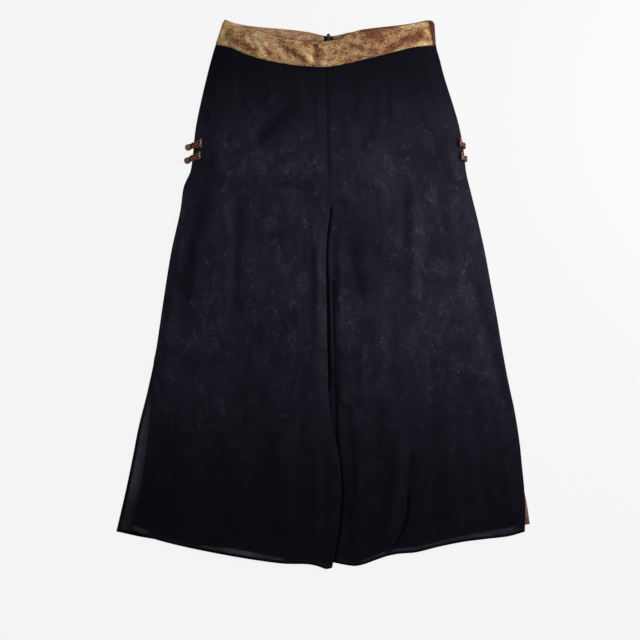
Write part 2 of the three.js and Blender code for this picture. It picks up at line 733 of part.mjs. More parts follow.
function slider() {
  const outline = new THREE.Shape();
  outline.moveTo(-SLIDER.halfBottom, SLIDER.bottom);
  outline.lineTo(SLIDER.halfBottom, SLIDER.bottom);
  outline.lineTo(SLIDER.halfTop, SLIDER.top - SLIDER.halfTop);
  outline.quadraticCurveTo(SLIDER.halfTop, SLIDER.top, 0, SLIDER.top);
  outline.quadraticCurveTo(-SLIDER.halfTop, SLIDER.top, -SLIDER.halfTop, SLIDER.top - SLIDER.halfTop);
  const plate = new THREE.ExtrudeGeometry(outline, {
    depth: SLIDER_THICK,
    bevelEnabled: false,
    curveSegments: 5,
  });
  plate.translate(ZIP_X, 0, SLIDER_LOW);
  const cheekTop = SLIDER_LOW + 0.5;
  const cheekLow = PIN.z - 0.8;
  const cheeks = [-1, 1].map((side) =>
    new THREE.BoxGeometry(CHEEK.outer - CHEEK.inner, 2 * CHEEK.half, cheekTop - cheekLow).translate(
      ZIP_X + (side * (CHEEK.inner + CHEEK.outer)) / 2,
      PIN.y,
      (cheekTop + cheekLow) / 2,
    ),
  );
  return joined(plate, ...cheeks, cylinderAlongX(PIN.r, CHEEK.inner + 0.3, PIN.y, PIN.z));
}

function pullTab() {
  const neck = 1.3;
  const root = PIN.y - 1.0;
  const outline = new THREE.Shape();
  outline.moveTo(-neck, root);
  outline.lineTo(-TAB.half, TAB.tip + TAB.half + 3);
  outline.absarc(0, TAB.tip + TAB.half, TAB.half, Math.PI, 2 * Math.PI, false);
  outline.lineTo(neck, root);
  const plate = new THREE.ExtrudeGeometry(outline, {
    depth: TAB.high - TAB.low,
    bevelEnabled: false,
    curveSegments: 8,
  }).translate(ZIP_X, 0, TAB.low);
  const eye = solidOf(cylinderAlongX(TAB.eyeR, TAB.eyeHalf, PIN.y, PIN.z));
  const hole = solidOf(cylinderAlongX(TAB.holeR, TAB.eyeHalf + 1, PIN.y, PIN.z));
  return geometryOf(eye.add(solidOf(plate)).subtract(hole));
}

place("zip_slider", slider(), MATERIALS.metal);
place("zip_pull_tab", pullTab(), MATERIALS.metal);

// Frog fasteners
const frontTop = (x, y) => (x < ZIP_X ? leftFloor(x, y) : rightFloor(x, y)) + CLOTH;

// A round cord along a curve through points, with closed ends.
function cord(points, radius, steps) {
  const section = new THREE.Shape();
  section.absarc(0, 0, radius, 0, 2 * Math.PI, false);
  return new THREE.ExtrudeGeometry(section, {
    steps,
    curveSegments: 4,
    bevelEnabled: false,
    extrudePath: new THREE.CatmullRomCurve3(points, false, "centripetal"),
  });
}

function bar(x, y, z) {
  return new THREE.CapsuleGeometry(BAR_R, 2 * (BAR_REACH - BAR_R), 3, 10).translate(x, y, z);
}

// Left frogs: the loop's cords run over the side to the eye, and the knot sits in the eye. A third
// cord lies between them from the bar to just short of the knot.
function leftFrog({ name, bar: barAt, knot }) {
  const [bx, by] = barAt;
  const [kx, ky] = knot;
  const along = new THREE.Vector2(bx - kx, by - ky);
  const length = along.length();
  along.normalize();
  // The cord's height: on the cloth inside the side's edge, and easing down to the table outside it.
  const cordZ = (x, y) => {
    const edge = leftFront(y);
    const nearby = [-3, 0, 3].map((off) => frontTop(Math.max(x, edge), y + off));
    const over = Math.max(...nearby) + CORD_OVER_CLOTH;
    return mix(over, EYE_Z, ease((edge - x - 2.2) / 3));
  };
  const at = (s, off, rise = 0) => {
    const [x, y] = [kx + s * along.x - off * along.y, ky + s * along.y + off * along.x];
    return new THREE.Vector3(x, y, cordZ(x, y) + rise);
  };
  const half = [
    [length, 4.6],
    [length * 0.8, 4.3],
    [length * 0.6, 4.0],
    [9.5, 3.9],
    [7.5, 4.0],
    [5.5, 4.2],
    [3.5, 4.2],
    [1.6, 4.0],
    [-0.8, EYE_R],
    [-2.7, EYE_R * 0.66],
  ];
  const points = [
    ...half.map(([s, off]) => at(s, off)),
    at(-EYE_R, 0),
    ...[...half].reverse().map(([s, off]) => at(s, -off)),
  ];
  const barZ = cordZ(bx, by) + 0.5;
  const middle = [0, 0.25, 0.5, 0.75, 1].map((share) => at(mix(length, MIDDLE_END, share), 0));
  const cords = [cord(points, CORD_R, 34), cord(middle, CORD_R, 10)];
  place(`frog_loop_${name}`, joined(...cords, bar(bx, by, barZ)), MATERIALS.copper);

  const knotZ = EYE_Z + KNOT_OVER_EYE;
  const ball = new THREE.IcosahedronGeometry(KNOT_R, 2).translate(kx, ky, knotZ);
  const stemRows = [
    [0, knotZ - 3],
    [0.4, knotZ - KNOT_R - 0.6],
    [2.6, STEM_Z + 0.2],
    [7, STEM_Z],
    [13, STEM_Z],
  ];
  const stemPoints = stemRows.map(([s, z]) => new THREE.Vector3(kx + s * along.x, ky + s * along.y, z));
  const stem = cord(stemPoints, STEM_R, 8);
  place(`frog_knot_${name}`, joined(ball, stem), MATERIALS.copper);
}

// Right frogs: the knot lies under the front's edge, and the loop bends over the edge to catch it.
function rightFrog({ name, bar: barAt, knot }) {
  const [bx, by] = barAt;
  const [kx, ky] = knot;
  const overAt = (x, y) => {
    const places = [-4, 0, 4].flatMap((off) => [[x - 3, y + off], [x, y + off]]);
    const near = places.map(([px, py]) => frontTop(Math.min(px, rightFront(y)), py));
    return Math.max(...near) + CORD_OVER_CLOTH;
  };
  const edge = Math.max(rightFront(by), rightFront(ky));
  const outX = Math.max(edge, kx + KNOT_R) + REST + CORD_R + 0.5;
  const knotZ = KNOT_R;
  const barZ = overAt(bx, by) + 0.5;
  const half = [
    { x: bx, share: 0.55, off: 1.9, z: barZ - 0.2 },
    { x: mix(bx, outX, 0.55), share: 0.5, off: 1.9, z: overAt(mix(bx, outX, 0.55), by) },
    { x: outX - 0.2, share: 0.35, off: 2.0, z: barZ - 2.4 },
    { x: outX, share: 0.15, off: 2.2, z: knotZ + 3.6 },
    { x: outX - 0.2, share: 0, off: 1.9, z: knotZ + 0.4 },
  ];
  const at = ({ x, share, off, z }, side) => new THREE.Vector3(x, mix(ky, by, share) + side * off, z);
  const points = [
    ...half.map((row) => at(row, 1)),
    new THREE.Vector3(outX - 0.3, ky, knotZ - 1.4),
    ...[...half].reverse().map((row) => at(row, -1)),
  ];
  place(`frog_loop_${name}`, joined(cord(points, CORD_R, 26), bar(bx, by, barZ)), MATERIALS.copper);

  const ball = new THREE.IcosahedronGeometry(KNOT_R, 2).translate(kx, ky, knotZ);
  const stemRows = [
    [0, knotZ],
    [-4, knotZ - 0.6],
    [-9, STEM_Z],
    [-18, STEM_Z],
  ];
  const stem = cord(stemRows.map(([s, z]) => new THREE.Vector3(kx + s, ky, z)), STEM_R, 7);
  place(`frog_knot_${name}`, joined(ball, stem), MATERIALS.copper);
}

FROGS.filter((frog) => frog.name.startsWith("left")).forEach(leftFrog);
FROGS.filter((frog) => frog.name.startsWith("right")).forEach(rightFrog);

// Facing on the right slit's back edge, which shows beside the front's edge
const facing = (u, v) => {
  const y = mix(FACING.top, FACING.bottom, v);
  return [rightBack(y) - FACING.inset - FACING.width * u, y];
};
const [facingLow, facingHigh] = [() => CLOTH + REST, () => CLOTH + REST + TAPE];
place("slit_facing_right", wall(facing, [0, 0.5, 1], spaced(8), facingLow, facingHigh), MATERIALS.copper);

export default part;
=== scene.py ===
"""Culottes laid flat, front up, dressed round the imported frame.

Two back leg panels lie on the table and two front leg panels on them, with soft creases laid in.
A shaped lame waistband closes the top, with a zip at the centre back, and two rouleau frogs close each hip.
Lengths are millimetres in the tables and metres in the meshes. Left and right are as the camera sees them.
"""

import logging
import math
from collections.abc import Callable, Sequence
from dataclasses import dataclass, field
from enum import Enum
from functools import partialmethod

import bpy
import numpy as np
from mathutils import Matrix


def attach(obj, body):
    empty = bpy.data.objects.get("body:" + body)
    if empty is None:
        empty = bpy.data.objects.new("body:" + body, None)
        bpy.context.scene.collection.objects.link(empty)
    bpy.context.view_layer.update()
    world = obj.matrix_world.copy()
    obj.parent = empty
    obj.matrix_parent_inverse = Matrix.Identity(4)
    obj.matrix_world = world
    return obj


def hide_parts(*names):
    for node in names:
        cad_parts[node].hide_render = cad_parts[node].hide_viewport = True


LOG = logging.getLogger("culottes")
MM = 0.001
Array = np.ndarray
Place = tuple[float, float]
Place3 = tuple[float, float, float]
Edge = Callable[[Array], Array]
Piece = bpy.types.Object
Socket = bpy.types.NodeSocket

CLOTH = 1.4  # wall of a leg panel in the frame
SHELL = 0.7  # wall of a leg panel here: sheer cloth on its lining
BAND = 2.0  # thickness of the waistband
REST = 0.3  # room between two layers
ON_LEG = CLOTH + REST  # where a layer starts that lies on a back leg
HALF_SEAM = 0.2  # half the room between two pieces that are sewn together
STRETCHES = 18  # straight stretches that stand for a fold's curve
ZIP_X = 9.1
PULL_ROOM = 1.7  # how far the back band rises over the pull tab
PULL_RISE = (398.0, 16.0)  # where that rise starts, and how long it takes
CROTCH_Y = 139.0
OVERLAP_Y = -215.0  # below this the left leg's inner edge lies on the right leg


class Side(Enum):
    """Which half of the garment a piece belongs to."""

    LEFT = "left"
    RIGHT = "right"


class Finish(Enum):
    """The material slots."""

    SHELL = "shell"
    LAME = "lame"
    COPPER = "copper"
    ZIP_TAPE = "zip_tape"
    ZIP_METAL = "zip_metal"


def mix(a: Array | float, b: Array | float, t: Array | float) -> Array:
    """Goes from a to b as t goes from 0 to 1."""
    return np.asarray(a + (b - a) * t)


def ease(t: Array | float) -> Array:
    """Eases from 0 to 1: three t squared less two t cubed, held outside that range."""
    s = np.clip(t, 0.0, 1.0)
    return s * s * (3 - 2 * s)


def through(places: Sequence[Place]) -> Edge:
    """Makes a smooth function through places.

    Each stretch is a cubic whose end slopes are those between the neighbouring places, and beyond the
    ends it goes on straight.

    Args:
        places: pairs of (where, value).

    Returns:
        A function from an array of wheres to their values.
    """
    rows = np.array(sorted(places), dtype=float)
    at, value = rows[:, 0], rows[:, 1]
    back = np.maximum(np.arange(len(at)) - 1, 0)
    ahead = np.minimum(np.arange(len(at)) + 1, len(at) - 1)
    slope = (value[ahead] - value[back]) / (at[ahead] - at[back])

    def smooth(where: Array) -> Array:
        """The cubic through the two places round each where."""
        w = np.asarray(where, dtype=float)
        i = np.clip(np.searchsorted(at, w, side="right") - 1, 0, len(at) - 2)
        span = at[i + 1] - at[i]
        t = np.clip((w - at[i]) / span, 0.0, 1.0)
        t2, t3 = t * t, t * t * t
        stays = (2 * t3 - 3 * t2 + 1) * value[i] + (3 * t2 - 2 * t3) * value[i + 1]
        inside = stays + ((t3 - 2 * t2 + t) * slope[i] + (t3 - t2) * slope[i + 1]) * span
        below, above = np.minimum(w - at[0], 0), np.maximum(w - at[-1], 0)
        return inside + slope[0] * below + slope[-1] * above

    return smooth


def value_at(edge: Edge, where: float) -> float:
    """An edge's value at one place."""
    return float(edge(np.array([where]))[0])


def pull_rise(y: Array) -> Array:
    """How far the back band and the zip are raised over the pull tab, by place up."""
    start, run = PULL_RISE
    return PULL_ROOM * ease((y - start) / run)


@dataclass(frozen=True)
class Fold:
    """One soft ridge or trough along a curve from start by way of via to end.

    Its height is rise at its middle line, falls off over width to each side as a bell, and fades out over
    the first and last 1 / ends of its length. Lean adds a shallower trough beside a ridge, on its left if
    it is below 0.
    """

    start: Place
    via: Place
    end: Place
    width: float
    rise: float
    lean: float = 0.0
    ends: float = 4.0

    def height(self, x: Array, y: Array) -> Array:
        """Measures each point's distance to the curve's straight stretches and shapes it as a bell.

        Args:
            x: places across, in millimetres.
            y: places up, in millimetres.

        Returns:
            Heights in millimetres.
        """
        t = np.linspace(0, 1, STRETCHES + 1)[:, None]
        a, b, c = (np.array(p, dtype=float) for p in (self.start, self.via, self.end))
        curve = (1 - t) ** 2 * a + 2 * t * (1 - t) * b + t**2 * c
        nearest = np.full(x.shape, np.inf)
        along = np.zeros(x.shape)
        signed = np.zeros(x.shape)
        for i in range(STRETCHES):
            dx, dy = curve[i + 1] - curve[i]
            rx, ry = x - curve[i, 0], y - curve[i, 1]
            s = np.clip((rx * dx + ry * dy) / (dx * dx + dy * dy), 0, 1)
            d = np.hypot(rx - s * dx, ry - s * dy)
            closer = d < nearest
            nearest = np.where(closer, d, nearest)
            along = np.where(closer, (i + s) / STRETCHES, along)
            signed = np.where(closer, np.sign(rx * dy - ry * dx) * d, signed)
        fade = ease(along * self.ends) * ease((1 - along) * self.ends)
        bell = np.exp(-((nearest / self.width) ** 2))
        beside = np.exp(-(((signed - np.sign(self.lean) * 1.7 * self.width) / (1.2 * self.width)) ** 2))
        return self.rise * fade * (bell - abs(self.lean) * beside)


def heights(folds: Sequence[Fold], x: Array, y: Array) -> Array:
    """The height of several folds together."""
    return sum(fold.height(x, y) for fold in folds)


def drawn(*rows: tuple[float, ...]) -> tuple[Fold, ...]:
    """A fold for each row: x and y of its start, via and end, width, rise, and lean and ends if given."""
    return tuple(Fold(row[:2], row[2:4], row[4:6], *row[6:]) for row in rows)


@dataclass(frozen=True)
class Waves:
    """A field of gentle, uneven swells: a sum of a few sines whose directions and lengths differ."""

    length: float
    depth: float
    shift: float = 0.0

    def height(self, x: Array, y: Array) -> Array:
        """Adds four sines at spread directions, each a little shorter than the last."""
        total = np.zeros(x.shape)
        for k, (turn, share) in enumerate(((0.15, 1.0), (1.1, 0.81), (2.0, 0.67), (2.75, 0.55))):
            run = x * math.cos(turn) + y * math.sin(turn)
            bend = 0.35 * np.sin((x - y) * 2 * math.pi / (self.length * 2.3) + k)
            total = total + np.sin(run * 2 * math.pi / (self.length * share) + bend + self.shift + 1.7 * k)
        return self.depth * total / 4


@dataclass(frozen=True)
class Form:
    """The garment's outlines and the height of its front, in millimetres.

    Side tables hold (y, x) pairs, and seam, top and hem tables (x, y) pairs.
    """

    left_side: tuple[Place, ...] = (
        (464, -167), (419, -182.5), (382, -193), (328, -206), (287, -214.5), (260, -218), (241, -219.4),
        (222, -221.6), (206, -224.8), (193, -231), (179, -236.3), (139, -242), (71, -257), (-10, -270),
        (-91, -282), (-118, -287),
    )
    right_side: tuple[Place, ...] = (
        (462, 186.5), (419, 191.5), (395, 198), (368, 205), (314, 222), (287, 229.5), (255, 235.5),
        (206, 242), (179, 248.5), (125, 262), (71, 274), (17, 284), (-37, 294), (-91, 303), (-145, 313),
        (-199, 324.5), (-253, 333), (-290, 336.6),
    )
    left_slit_front: tuple[Place, ...] = (
        (-179, -290), (-220, -293.5), (-260, -298), (-323, -308), (-400, -323),
    )
    left_slit_back: tuple[Place, ...] = (
        (-172, -299), (-226, -312.5), (-280, -323), (-335, -334.5), (-402, -350),
    )
    right_slit_front: tuple[Place, ...] = ((-312, 338.8), (-330, 340.4), (-370, 342.2), (-402, 341.4))
    right_slit_back: tuple[Place, ...] = (
        (-312, 337.4), (-330, 340.2), (-350, 344.2), (-366, 347), (-389.5, 350),
    )
    centre_front: tuple[Place, ...] = ((384, 3.4), (260, 6.8), (200, 9.2), (CROTCH_Y, 12.4))
    inner_left: tuple[Place, ...] = (
        (CROTCH_Y, 12.4), (124, 10.2), (99, 7.0), (57, 5.2), (-10, 6.2), (-95, 7.6), (-179, 10), (-213, 15),
        (-247, 22), (-281, 28), (-330, 31), (-382, 28), (-450, 18), (-463, 15.5),
    )
    inner_right: tuple[Place, ...] = (
        (CROTCH_Y, 12.4), (90, 9.6), (-10, 9.4), (-179, 12), (-330, 15), (-454.5, 18.5),
    )
    inner_back: tuple[Place, ...] = ((436, ZIP_X), (CROTCH_Y, ZIP_X), (-179, 10.5), (-444, 12))
    front_top: tuple[Place, ...] = (
        (-169, 461), (-159, 453.5), (-137, 450.5), (-121, 448.5), (-99, 441.5), (-78, 435), (-56, 430),
        (-24, 426.5), (9, 427.6), (30, 433), (56, 444.5), (86, 449.5), (127, 454), (157, 458.5),
        (172, 462), (181, 462.8), (186, 461), (188.8, 456.5),
    )
    front_seam: tuple[Place, ...] = (
        (-182, 422.4), (-155, 416.2), (-133, 406.8), (-103, 397), (-73, 391), (-39, 386), (3.4, 384),
        (39, 389.5), (69, 396.5), (110, 406.5), (150, 416.5), (191, 421.5),
    )
    back_top: tuple[Place, ...] = (
        (-167, 465), (-157, 461.5), (-137, 456), (-106, 452), (-66, 448.5), (-25, 443.5), (ZIP_X, 436),
        (26, 438.5), (46, 443), (86, 447), (127, 451), (185, 457.5),
    )
    back_seam: tuple[Place, ...] = (
        (-180, 419.5), (-133, 408), (-66, 397), (ZIP_X, 393), (86, 399), (140, 411), (189, 420),
    )
    hem_left: tuple[Place, ...] = (
        (-323, -400), (-301, -409), (-267, -419.5), (-218, -431), (-167, -441), (-117, -449.5),
        (-66, -456), (-25, -457), (-8, -460.5), (5, -465), (15.5, -463),
    )
    hem_right: tuple[Place, ...] = (
        (18.5, -454.5), (51, -460), (68, -457.5), (86, -451), (108, -443.5), (128, -439.5), (157, -437),
        (198, -427), (239, -419), (279, -414), (315, -409.5), (341, -402),
    )
    hem_left_back: tuple[Place, ...] = (
        (-350, -402), (-301, -412.5), (-250, -419), (-174, -427), (-81, -438), (12, -444),
    )
    hem_right_back: tuple[Place, ...] = (
        (12, -444), (51, -446), (106, -432.5), (157, -424), (239, -406), (316, -394), (350, -389.5),
    )
    folds: tuple[Fold, ...] = drawn(
        (-160, 190, -162, 74, -163, -60, 11, 2.4), (-145, 186, -147, 66, -149, -55, 10, -2.4),
        (-198, 205, -236, 54, -243, -125, 16, -2.2), (-214, 176, -251, 54, -266, -95, 10, 1.5),
        (214, 196, 262, -10, 318, -222, 12, -2.4), (196, 120, 238, -60, 288, -250, 16, 1.8),
        (137, 204, 139, 140, 138, 50, 11, -1.7), (151, 190, 154, 91, 150, -18, 12, 2.3),
        (-40, 334, -82, 300, -122, 248, 11, -2.6), (-62, 346, -104, 312, -142, 262, 11, 2.0),
        (-98, 178, -56, 208, -14, 172, 10, -2.2), (-88, 158, -56, 184, -26, 152, 12, 1.8),
        (24, 228, 74, 226, 76, 288, 11, -2.0), (-36, -40, -90, -46, -97, -156, 13, -2.6),
        (-97, -150, -104, -246, -102, -352, 14, -2.0), (-70, -196, -66, -300, -62, -440, 16, 1.9),
        (-228, -180, -236, -300, -248, -416, 18, 1.7), (-180, -200, -188, -320, -192, -430, 15, -1.6),
        (47, 106, 48, 32, 71, -22, 11, -2.4), (90, -165, 92, -236, 88, -304, 11, -2.0),
        (38, -165, 46, -250, 49, -360, 8, -2.3), (145, -222, 150, -360, 110, -446, 9, -3.0),
        (128, -214, 134, -352, 92, -456, 12, 3.4), (206, -236, 216, -330, 222, -424, 18, 1.8),
        (3.4, 396, 6.6, 260, 9.4, 128, 6, -1.1),
    )
    # Finer creases than the frame's, in the same places as on the real cloth
    creases: tuple[Fold, ...] = drawn(
        (-140, 402, -142, 352, -138, 300, 7, -1.1, 0.3), (-174, 376, -186, 330, -196, 276, 6, 0.9, 0.3),
        (-96, 372, -84, 340, -96, 306, 7, 1.2, -0.4), (-58, 352, -88, 322, -112, 292, 6, -1.0, 0.3),
        (-30, 368, -20, 330, -26, 286, 6, -0.8, 0.3), (-13, 372, -8, 280, 0, 190, 4, 0.5, -0.4),
        (-120, 262, -108, 236, -120, 204, 8, 1.0, 0.4), (-60, 262, -44, 236, -24, 226, 7, 0.9, -0.4),
        (-20, 146, -6, 60, -12, -90, 6, 1.1, 0.4), (-38, 118, -30, 40, -34, -40, 7, -1.0, 0.3),
        (-96, 96, -92, 20, -104, -50, 9, -0.9, 0.3), (-206, 96, -222, 20, -226, -70, 8, 1.0, -0.4),
        (-186, 20, -196, -60, -192, -150, 9, -1.0, 0.3), (-118, -70, -120, -150, -128, -230, 9, 0.9, -0.3),
        (-40, -100, -36, -190, -42, -290, 8, -0.9, 0.3), (-150, -290, -152, -360, -148, -430, 9, 0.9, 0.3),
        (-278, -190, -282, -280, -296, -380, 7, 0.8, 0.3), (-12, -250, -6, -340, -14, -440, 7, 1.2, -0.4),
        (60, 372, 66, 330, 58, 280, 7, 0.9, 0.3), (106, 376, 110, 320, 104, 262, 7, -1.0, 0.3),
        (150, 386, 168, 330, 180, 276, 8, 0.9, -0.3), (36, 250, 62, 258, 88, 246, 7, 1.0, 0.4),
        (26, 196, 44, 176, 40, 140, 7, 1.0, -0.4), (96, 200, 104, 130, 98, 40, 8, 0.9, 0.3),
        (188, 220, 206, 130, 218, 40, 9, -0.9, 0.3), (226, 150, 244, 70, 256, -10, 7, 0.9, 0.3),
        (112, 20, 116, -70, 110, -150, 9, -0.9, 0.3), (66, -60, 64, -140, 70, -220, 8, 1.0, -0.3),
        (178, -70, 182, -160, 190, -260, 10, -0.8, 0.3), (250, -200, 268, -290, 282, -390, 9, -0.9, 0.3),
        (60, -250, 58, -330, 66, -430, 6, 1.0, 0.4), (300, -250, 314, -320, 322, -396, 7, 0.8, 0.3),
        (168, -330, 170, -380, 160, -430, 7, 0.8, -0.3),
        (18.6, 56, 17.5, -110, 28.5, -300, 2.8, -3.4, 0.0, 7),
        (141, -326, 154, -382, 110, -444, 3.4, -2.6, 0.5, 5),
    )
    roll: Fold = Fold((13, 60), (15, -60), (19, -190), 5, 1.6)
    puckers: tuple[Fold, ...] = drawn(
        (-158, 444, -146, 430, -138, 414, 8, 1.3), (-92, 436, -72, 420, -58, 396, 8, -1.3),
        (-40, 424, -30, 408, -26, 390, 9, 1.4), (-14, 426, -12, 408, -16, 388, 7, -1.0),
        (44, 432, 70, 418, 104, 416, 9, 1.2), (92, 406, 118, 428, 176, 432, 9, -1.5),
    )
    band_creases: tuple[Fold, ...] = drawn(
        (-132, 444, -116, 424, -112, 404, 4, -0.8, 0.4), (-112, 440, -98, 420, -84, 398, 4, 0.8, 0.4),
        (-60, 426, -50, 412, -46, 392, 3.5, -0.7, 0.4), (-2, 424, 4, 408, 2, 390, 4, 0.7, -0.4),
        (20, 424, 34, 408, 40, 394, 4, -0.6, 0.3), (58, 436, 84, 424, 118, 420, 4, -0.8, 0.4),
        (80, 412, 110, 416, 150, 424, 4, 0.7, 0.4), (130, 446, 150, 440, 178, 444, 4, 0.8, -0.4),
        (140, 424, 160, 430, 182, 428, 4, -0.7, 0.4), (-172, 432, -164, 440, -160, 450, 4, -0.6, 0.3),
    )
    # Where the band turns copper, above 0, or gold, below 0: partly its shot weave, partly painted shade in
    # the puckers' troughs and painted highlight on their ridges
    shot_and_sheen: tuple[Fold, ...] = drawn(
        (-168, 444, -143, 428, -106, 401, 7, 1.0, 0.0, 6), (-80, 432, -56, 411, -25, 389, 6, 1.1, 0.0, 6),
        (-103, 420, -94, 412, -84, 400, 3.6, 0.6), (-14, 428, -12, 412, -9, 393, 4.5, 0.7),
        (18, 428, 20, 418, 22, 406, 3.6, 0.5), (101, 402, 118, 428, 180, 441, 6.5, 1.2, 0.0, 6),
        (76, 446, 93, 438, 104, 424, 6, 0.6), (44, 441, 90, 448, 136, 452, 2.6, 0.8),
        (54, 434, 92, 442, 134, 447, 8, 0.6), (-126, 436, -104, 424, -96, 398, 8, -0.8),
        (-44, 424, -32, 408, -14, 386, 5, -1.1, 0.0, 5), (112, 406, 146, 418, 184, 426, 4.5, -1.0, 0.0, 6),
        (130, 450, 154, 454, 176, 457, 4, -0.7), (-154, 420, -140, 414, -120, 406, 3.6, -0.6),
        (-10, 391, 10, 388, 40, 392, 4, -0.6),
    )
    # Painted shade in hollows, below 0, and painted highlight on swells, where the cloth lies to the light
    shade_and_highlight: tuple[Fold, ...] = drawn(
        (18.6, 56, 17.5, -110, 28.5, -300, 2.6, -1.25, 0.0, 7),
        (141, -326, 154, -382, 110, -444, 3.6, -1.1, 0.0, 5), (-30, 338, -84, 284, -132, 232, 16, -0.65),
        (-100, 178, -34, 208, -10, 138, 5, -0.75, 0.0, 5), (141, 210, 143, 150, 142, 70, 10, -0.45),
        (12, 64, 12, -60, 15, -190, 4, -0.4), (42, 156, 54, 70, 68, -34, 20, -0.6),
        (38, 168, 40, 142, 40, 116, 8, -0.3), (214, 100, 218, 50, 224, -20, 13, -0.5),
        (249, 56, 279, -40, 318, -208, 9, -0.55), (-12, 116, -16, 20, -18, -110, 6, -0.5),
        (14, -100, 16, -190, 12, -290, 11, -0.3), (-98, -20, -106, -120, -104, -260, 18, -0.3),
        (-182, 360, -188, 280, -190, 190, 12, -0.45), (-184, 262, -206, 130, -262, -76, 20, -0.7),
        (-148, 164, -149, 60, -150, -80, 10, -0.6), (3, 384, 5, 260, 9.5, 132, 7, -0.45, 0.0, 8),
        (40, 262, 80, 250, 96, 286, 10, -0.3), (-3, 100, -2, 20, 0, -80, 4, 0.4),
        (30, 80, 34, 0, 38, -90, 7, 0.4), (-80, 200, -52, 224, -20, 206, 7, 0.6),
        (-60, 170, -44, 140, -48, 110, 12, 0.4), (-172, 190, -174, 90, -176, -30, 11, 0.6),
        (-226, 180, -246, 90, -262, 20, 9, 0.4), (156, 190, 161, 90, 160, -30, 12, 0.5),
        (196, 70, 216, -20, 240, -130, 14, 0.4), (96, 270, 112, 220, 112, 140, 16, 0.4),
        (-110, 340, -134, 300, -142, 240, 12, 0.5),
    )
    loft: float = 3.4  # of the front over the back, off its sides
    frog_tuck: Place3 = (15.0, 237.0, 26.0)  # how far the back's right edge is drawn in, where, and its reach
    # (x, y, spread across, spread up, rise) where something under the front lifts it
    lifts: tuple[tuple[float, float, float, float, float], ...] = (
        (-217, 239, 20, 30, 2.8),
        (232, 238, 33, 34, 8.6),
        (342, -352, 22, 70, 2.2),
    )

    def side(self, side: Side, layer: str) -> Edge:
        """The outer edge of a leg panel, x as a function of y; layer is front or back."""
        if side is Side.LEFT:
            slit = self.left_slit_front if layer == "front" else self.left_slit_back
            return through(self.left_side + slit)
        if layer == "front":
            return through(self.right_side + self.right_slit_front)
        edge = through(self.right_side + self.right_slit_back)
        depth, middle, reach = self.frog_tuck
        return lambda y: edge(y) - depth * np.exp(-(((y - middle) / reach) ** 4))

    def inner(self, side: Side) -> Edge:
        """The inner edge of a front leg: the centre seam above the crotch, the inner leg below it."""
        above = through(self.centre_front)
        below = through(self.inner_left if side is Side.LEFT else self.inner_right)
        return lambda y: np.where(y > CROTCH_Y, above(y), below(y))

    def tucked(self, y: Array) -> Array:
        """How far the right leg's inner edge slips under the left leg's below the crotch."""
        gap = np.maximum(0, self.inner(Side.RIGHT)(y) - self.inner(Side.LEFT)(y))
        return (gap + 2.5) * ease((CROTCH_Y + 8 - y) / 8)

    def front_floor(self, x: Array, y: Array, fine: float = 1.0) -> Array:
        """The underside of the front: the lowest it may lie, its loft off the sides, and its folds.

        Args:
            x: places across.
            y: places up.
            fine: share of the finer creases and swells that is added.

        Returns:
            Heights over the table.
        """
        inside = np.minimum(x - self.side(Side.LEFT, "front")(y), self.side(Side.RIGHT, "front")(y) - x)
        lowest = mix(ON_LEG, BAND + REST, ease((y - 360) / 50))
        small = heights(self.creases, x, y) + Waves(74, 0.5).height(x, y) + Waves(29, 0.22, 2.0).height(x, y)
        quiet = 1 - 0.75 * ease((y - 335) / 45)
        shaped = (heights(self.folds, x, y) + fine * quiet * small) * ease(inside / 14)
        return np.maximum(lowest, lowest + self.loft * ease(inside / 34 + 0.12) + shaped)

    def leg_floor(self, side: Side, x: Array, y: Array, fine: float = 1.0) -> Array:
        """The underside of a front leg, which also falls to the back at its hem and inner edge.

        The left leg's inner edge lies on the right leg near the hem, and the right leg's stays low under it.
        """
        over = ease((OVERLAP_Y + 50 - y) / 45)
        if side is Side.LEFT:
            level = mix(ON_LEG, 2 * ON_LEG + 0.5, over)
            inner = self.inner(side)(y) - x
            hem = through(self.hem_left)(x)
        else:
            level = np.full(x.shape, ON_LEG)
            share = ease((OVERLAP_Y + 60 - y) / 50)
            inner = x - self.inner(side)(y) - mix(6, 22 * share, share)
            hem = through(self.hem_right)(x)
        opened = ON_LEG + (self.front_floor(x, y, fine) - ON_LEG) * mix(0.3, 1, ease((y - hem) / 70))
        fall = (1 - ease(inner / 16)) * ease((CROTCH_Y + 12 - y) / 60)
        lift = sum(
            rise * np.exp(-(((x - cx) / wide) ** 2) - ((y - cy) / tall) ** 2)
            for cx, cy, wide, tall, rise in self.lifts
        )
        floor = np.maximum(ON_LEG, mix(opened, level, fall)) + lift
        if side is Side.LEFT:
            return np.maximum(level * over, floor)
        return floor + self.roll.height(x, y)

    def lie(self, x: Array, y: Array) -> Array:
        """Painted highlight, above 0, or painted shade on the front's cloth: its shade and highlight table
        and a share of its folds' height.
        """
        relief = heights(self.folds + self.creases, x, y)
        return np.clip(heights(self.shade_and_highlight, x, y) + 0.05 * relief, -1.2, 1.0)

    def front_top_at(self, x: float, y: float) -> float:
        """The height of the front's upper face at one place."""
        side = Side.LEFT if x < ZIP_X else Side.RIGHT
        return float(self.leg_floor(side, np.array([x]), np.array([y]), 0.0)[0]) + CLOTH

    def band_floor(self, x: Array, y: Array) -> Array:
        """The underside of the front waistband: the front's loft with the band's own puckers."""
        puckers = heights(self.puckers + self.band_creases, x, y) * ease(np.minimum(x + 178, 190 - x) / 16)
        return np.maximum(BAND + REST, self.front_floor(x, y, 0.0) + puckers)


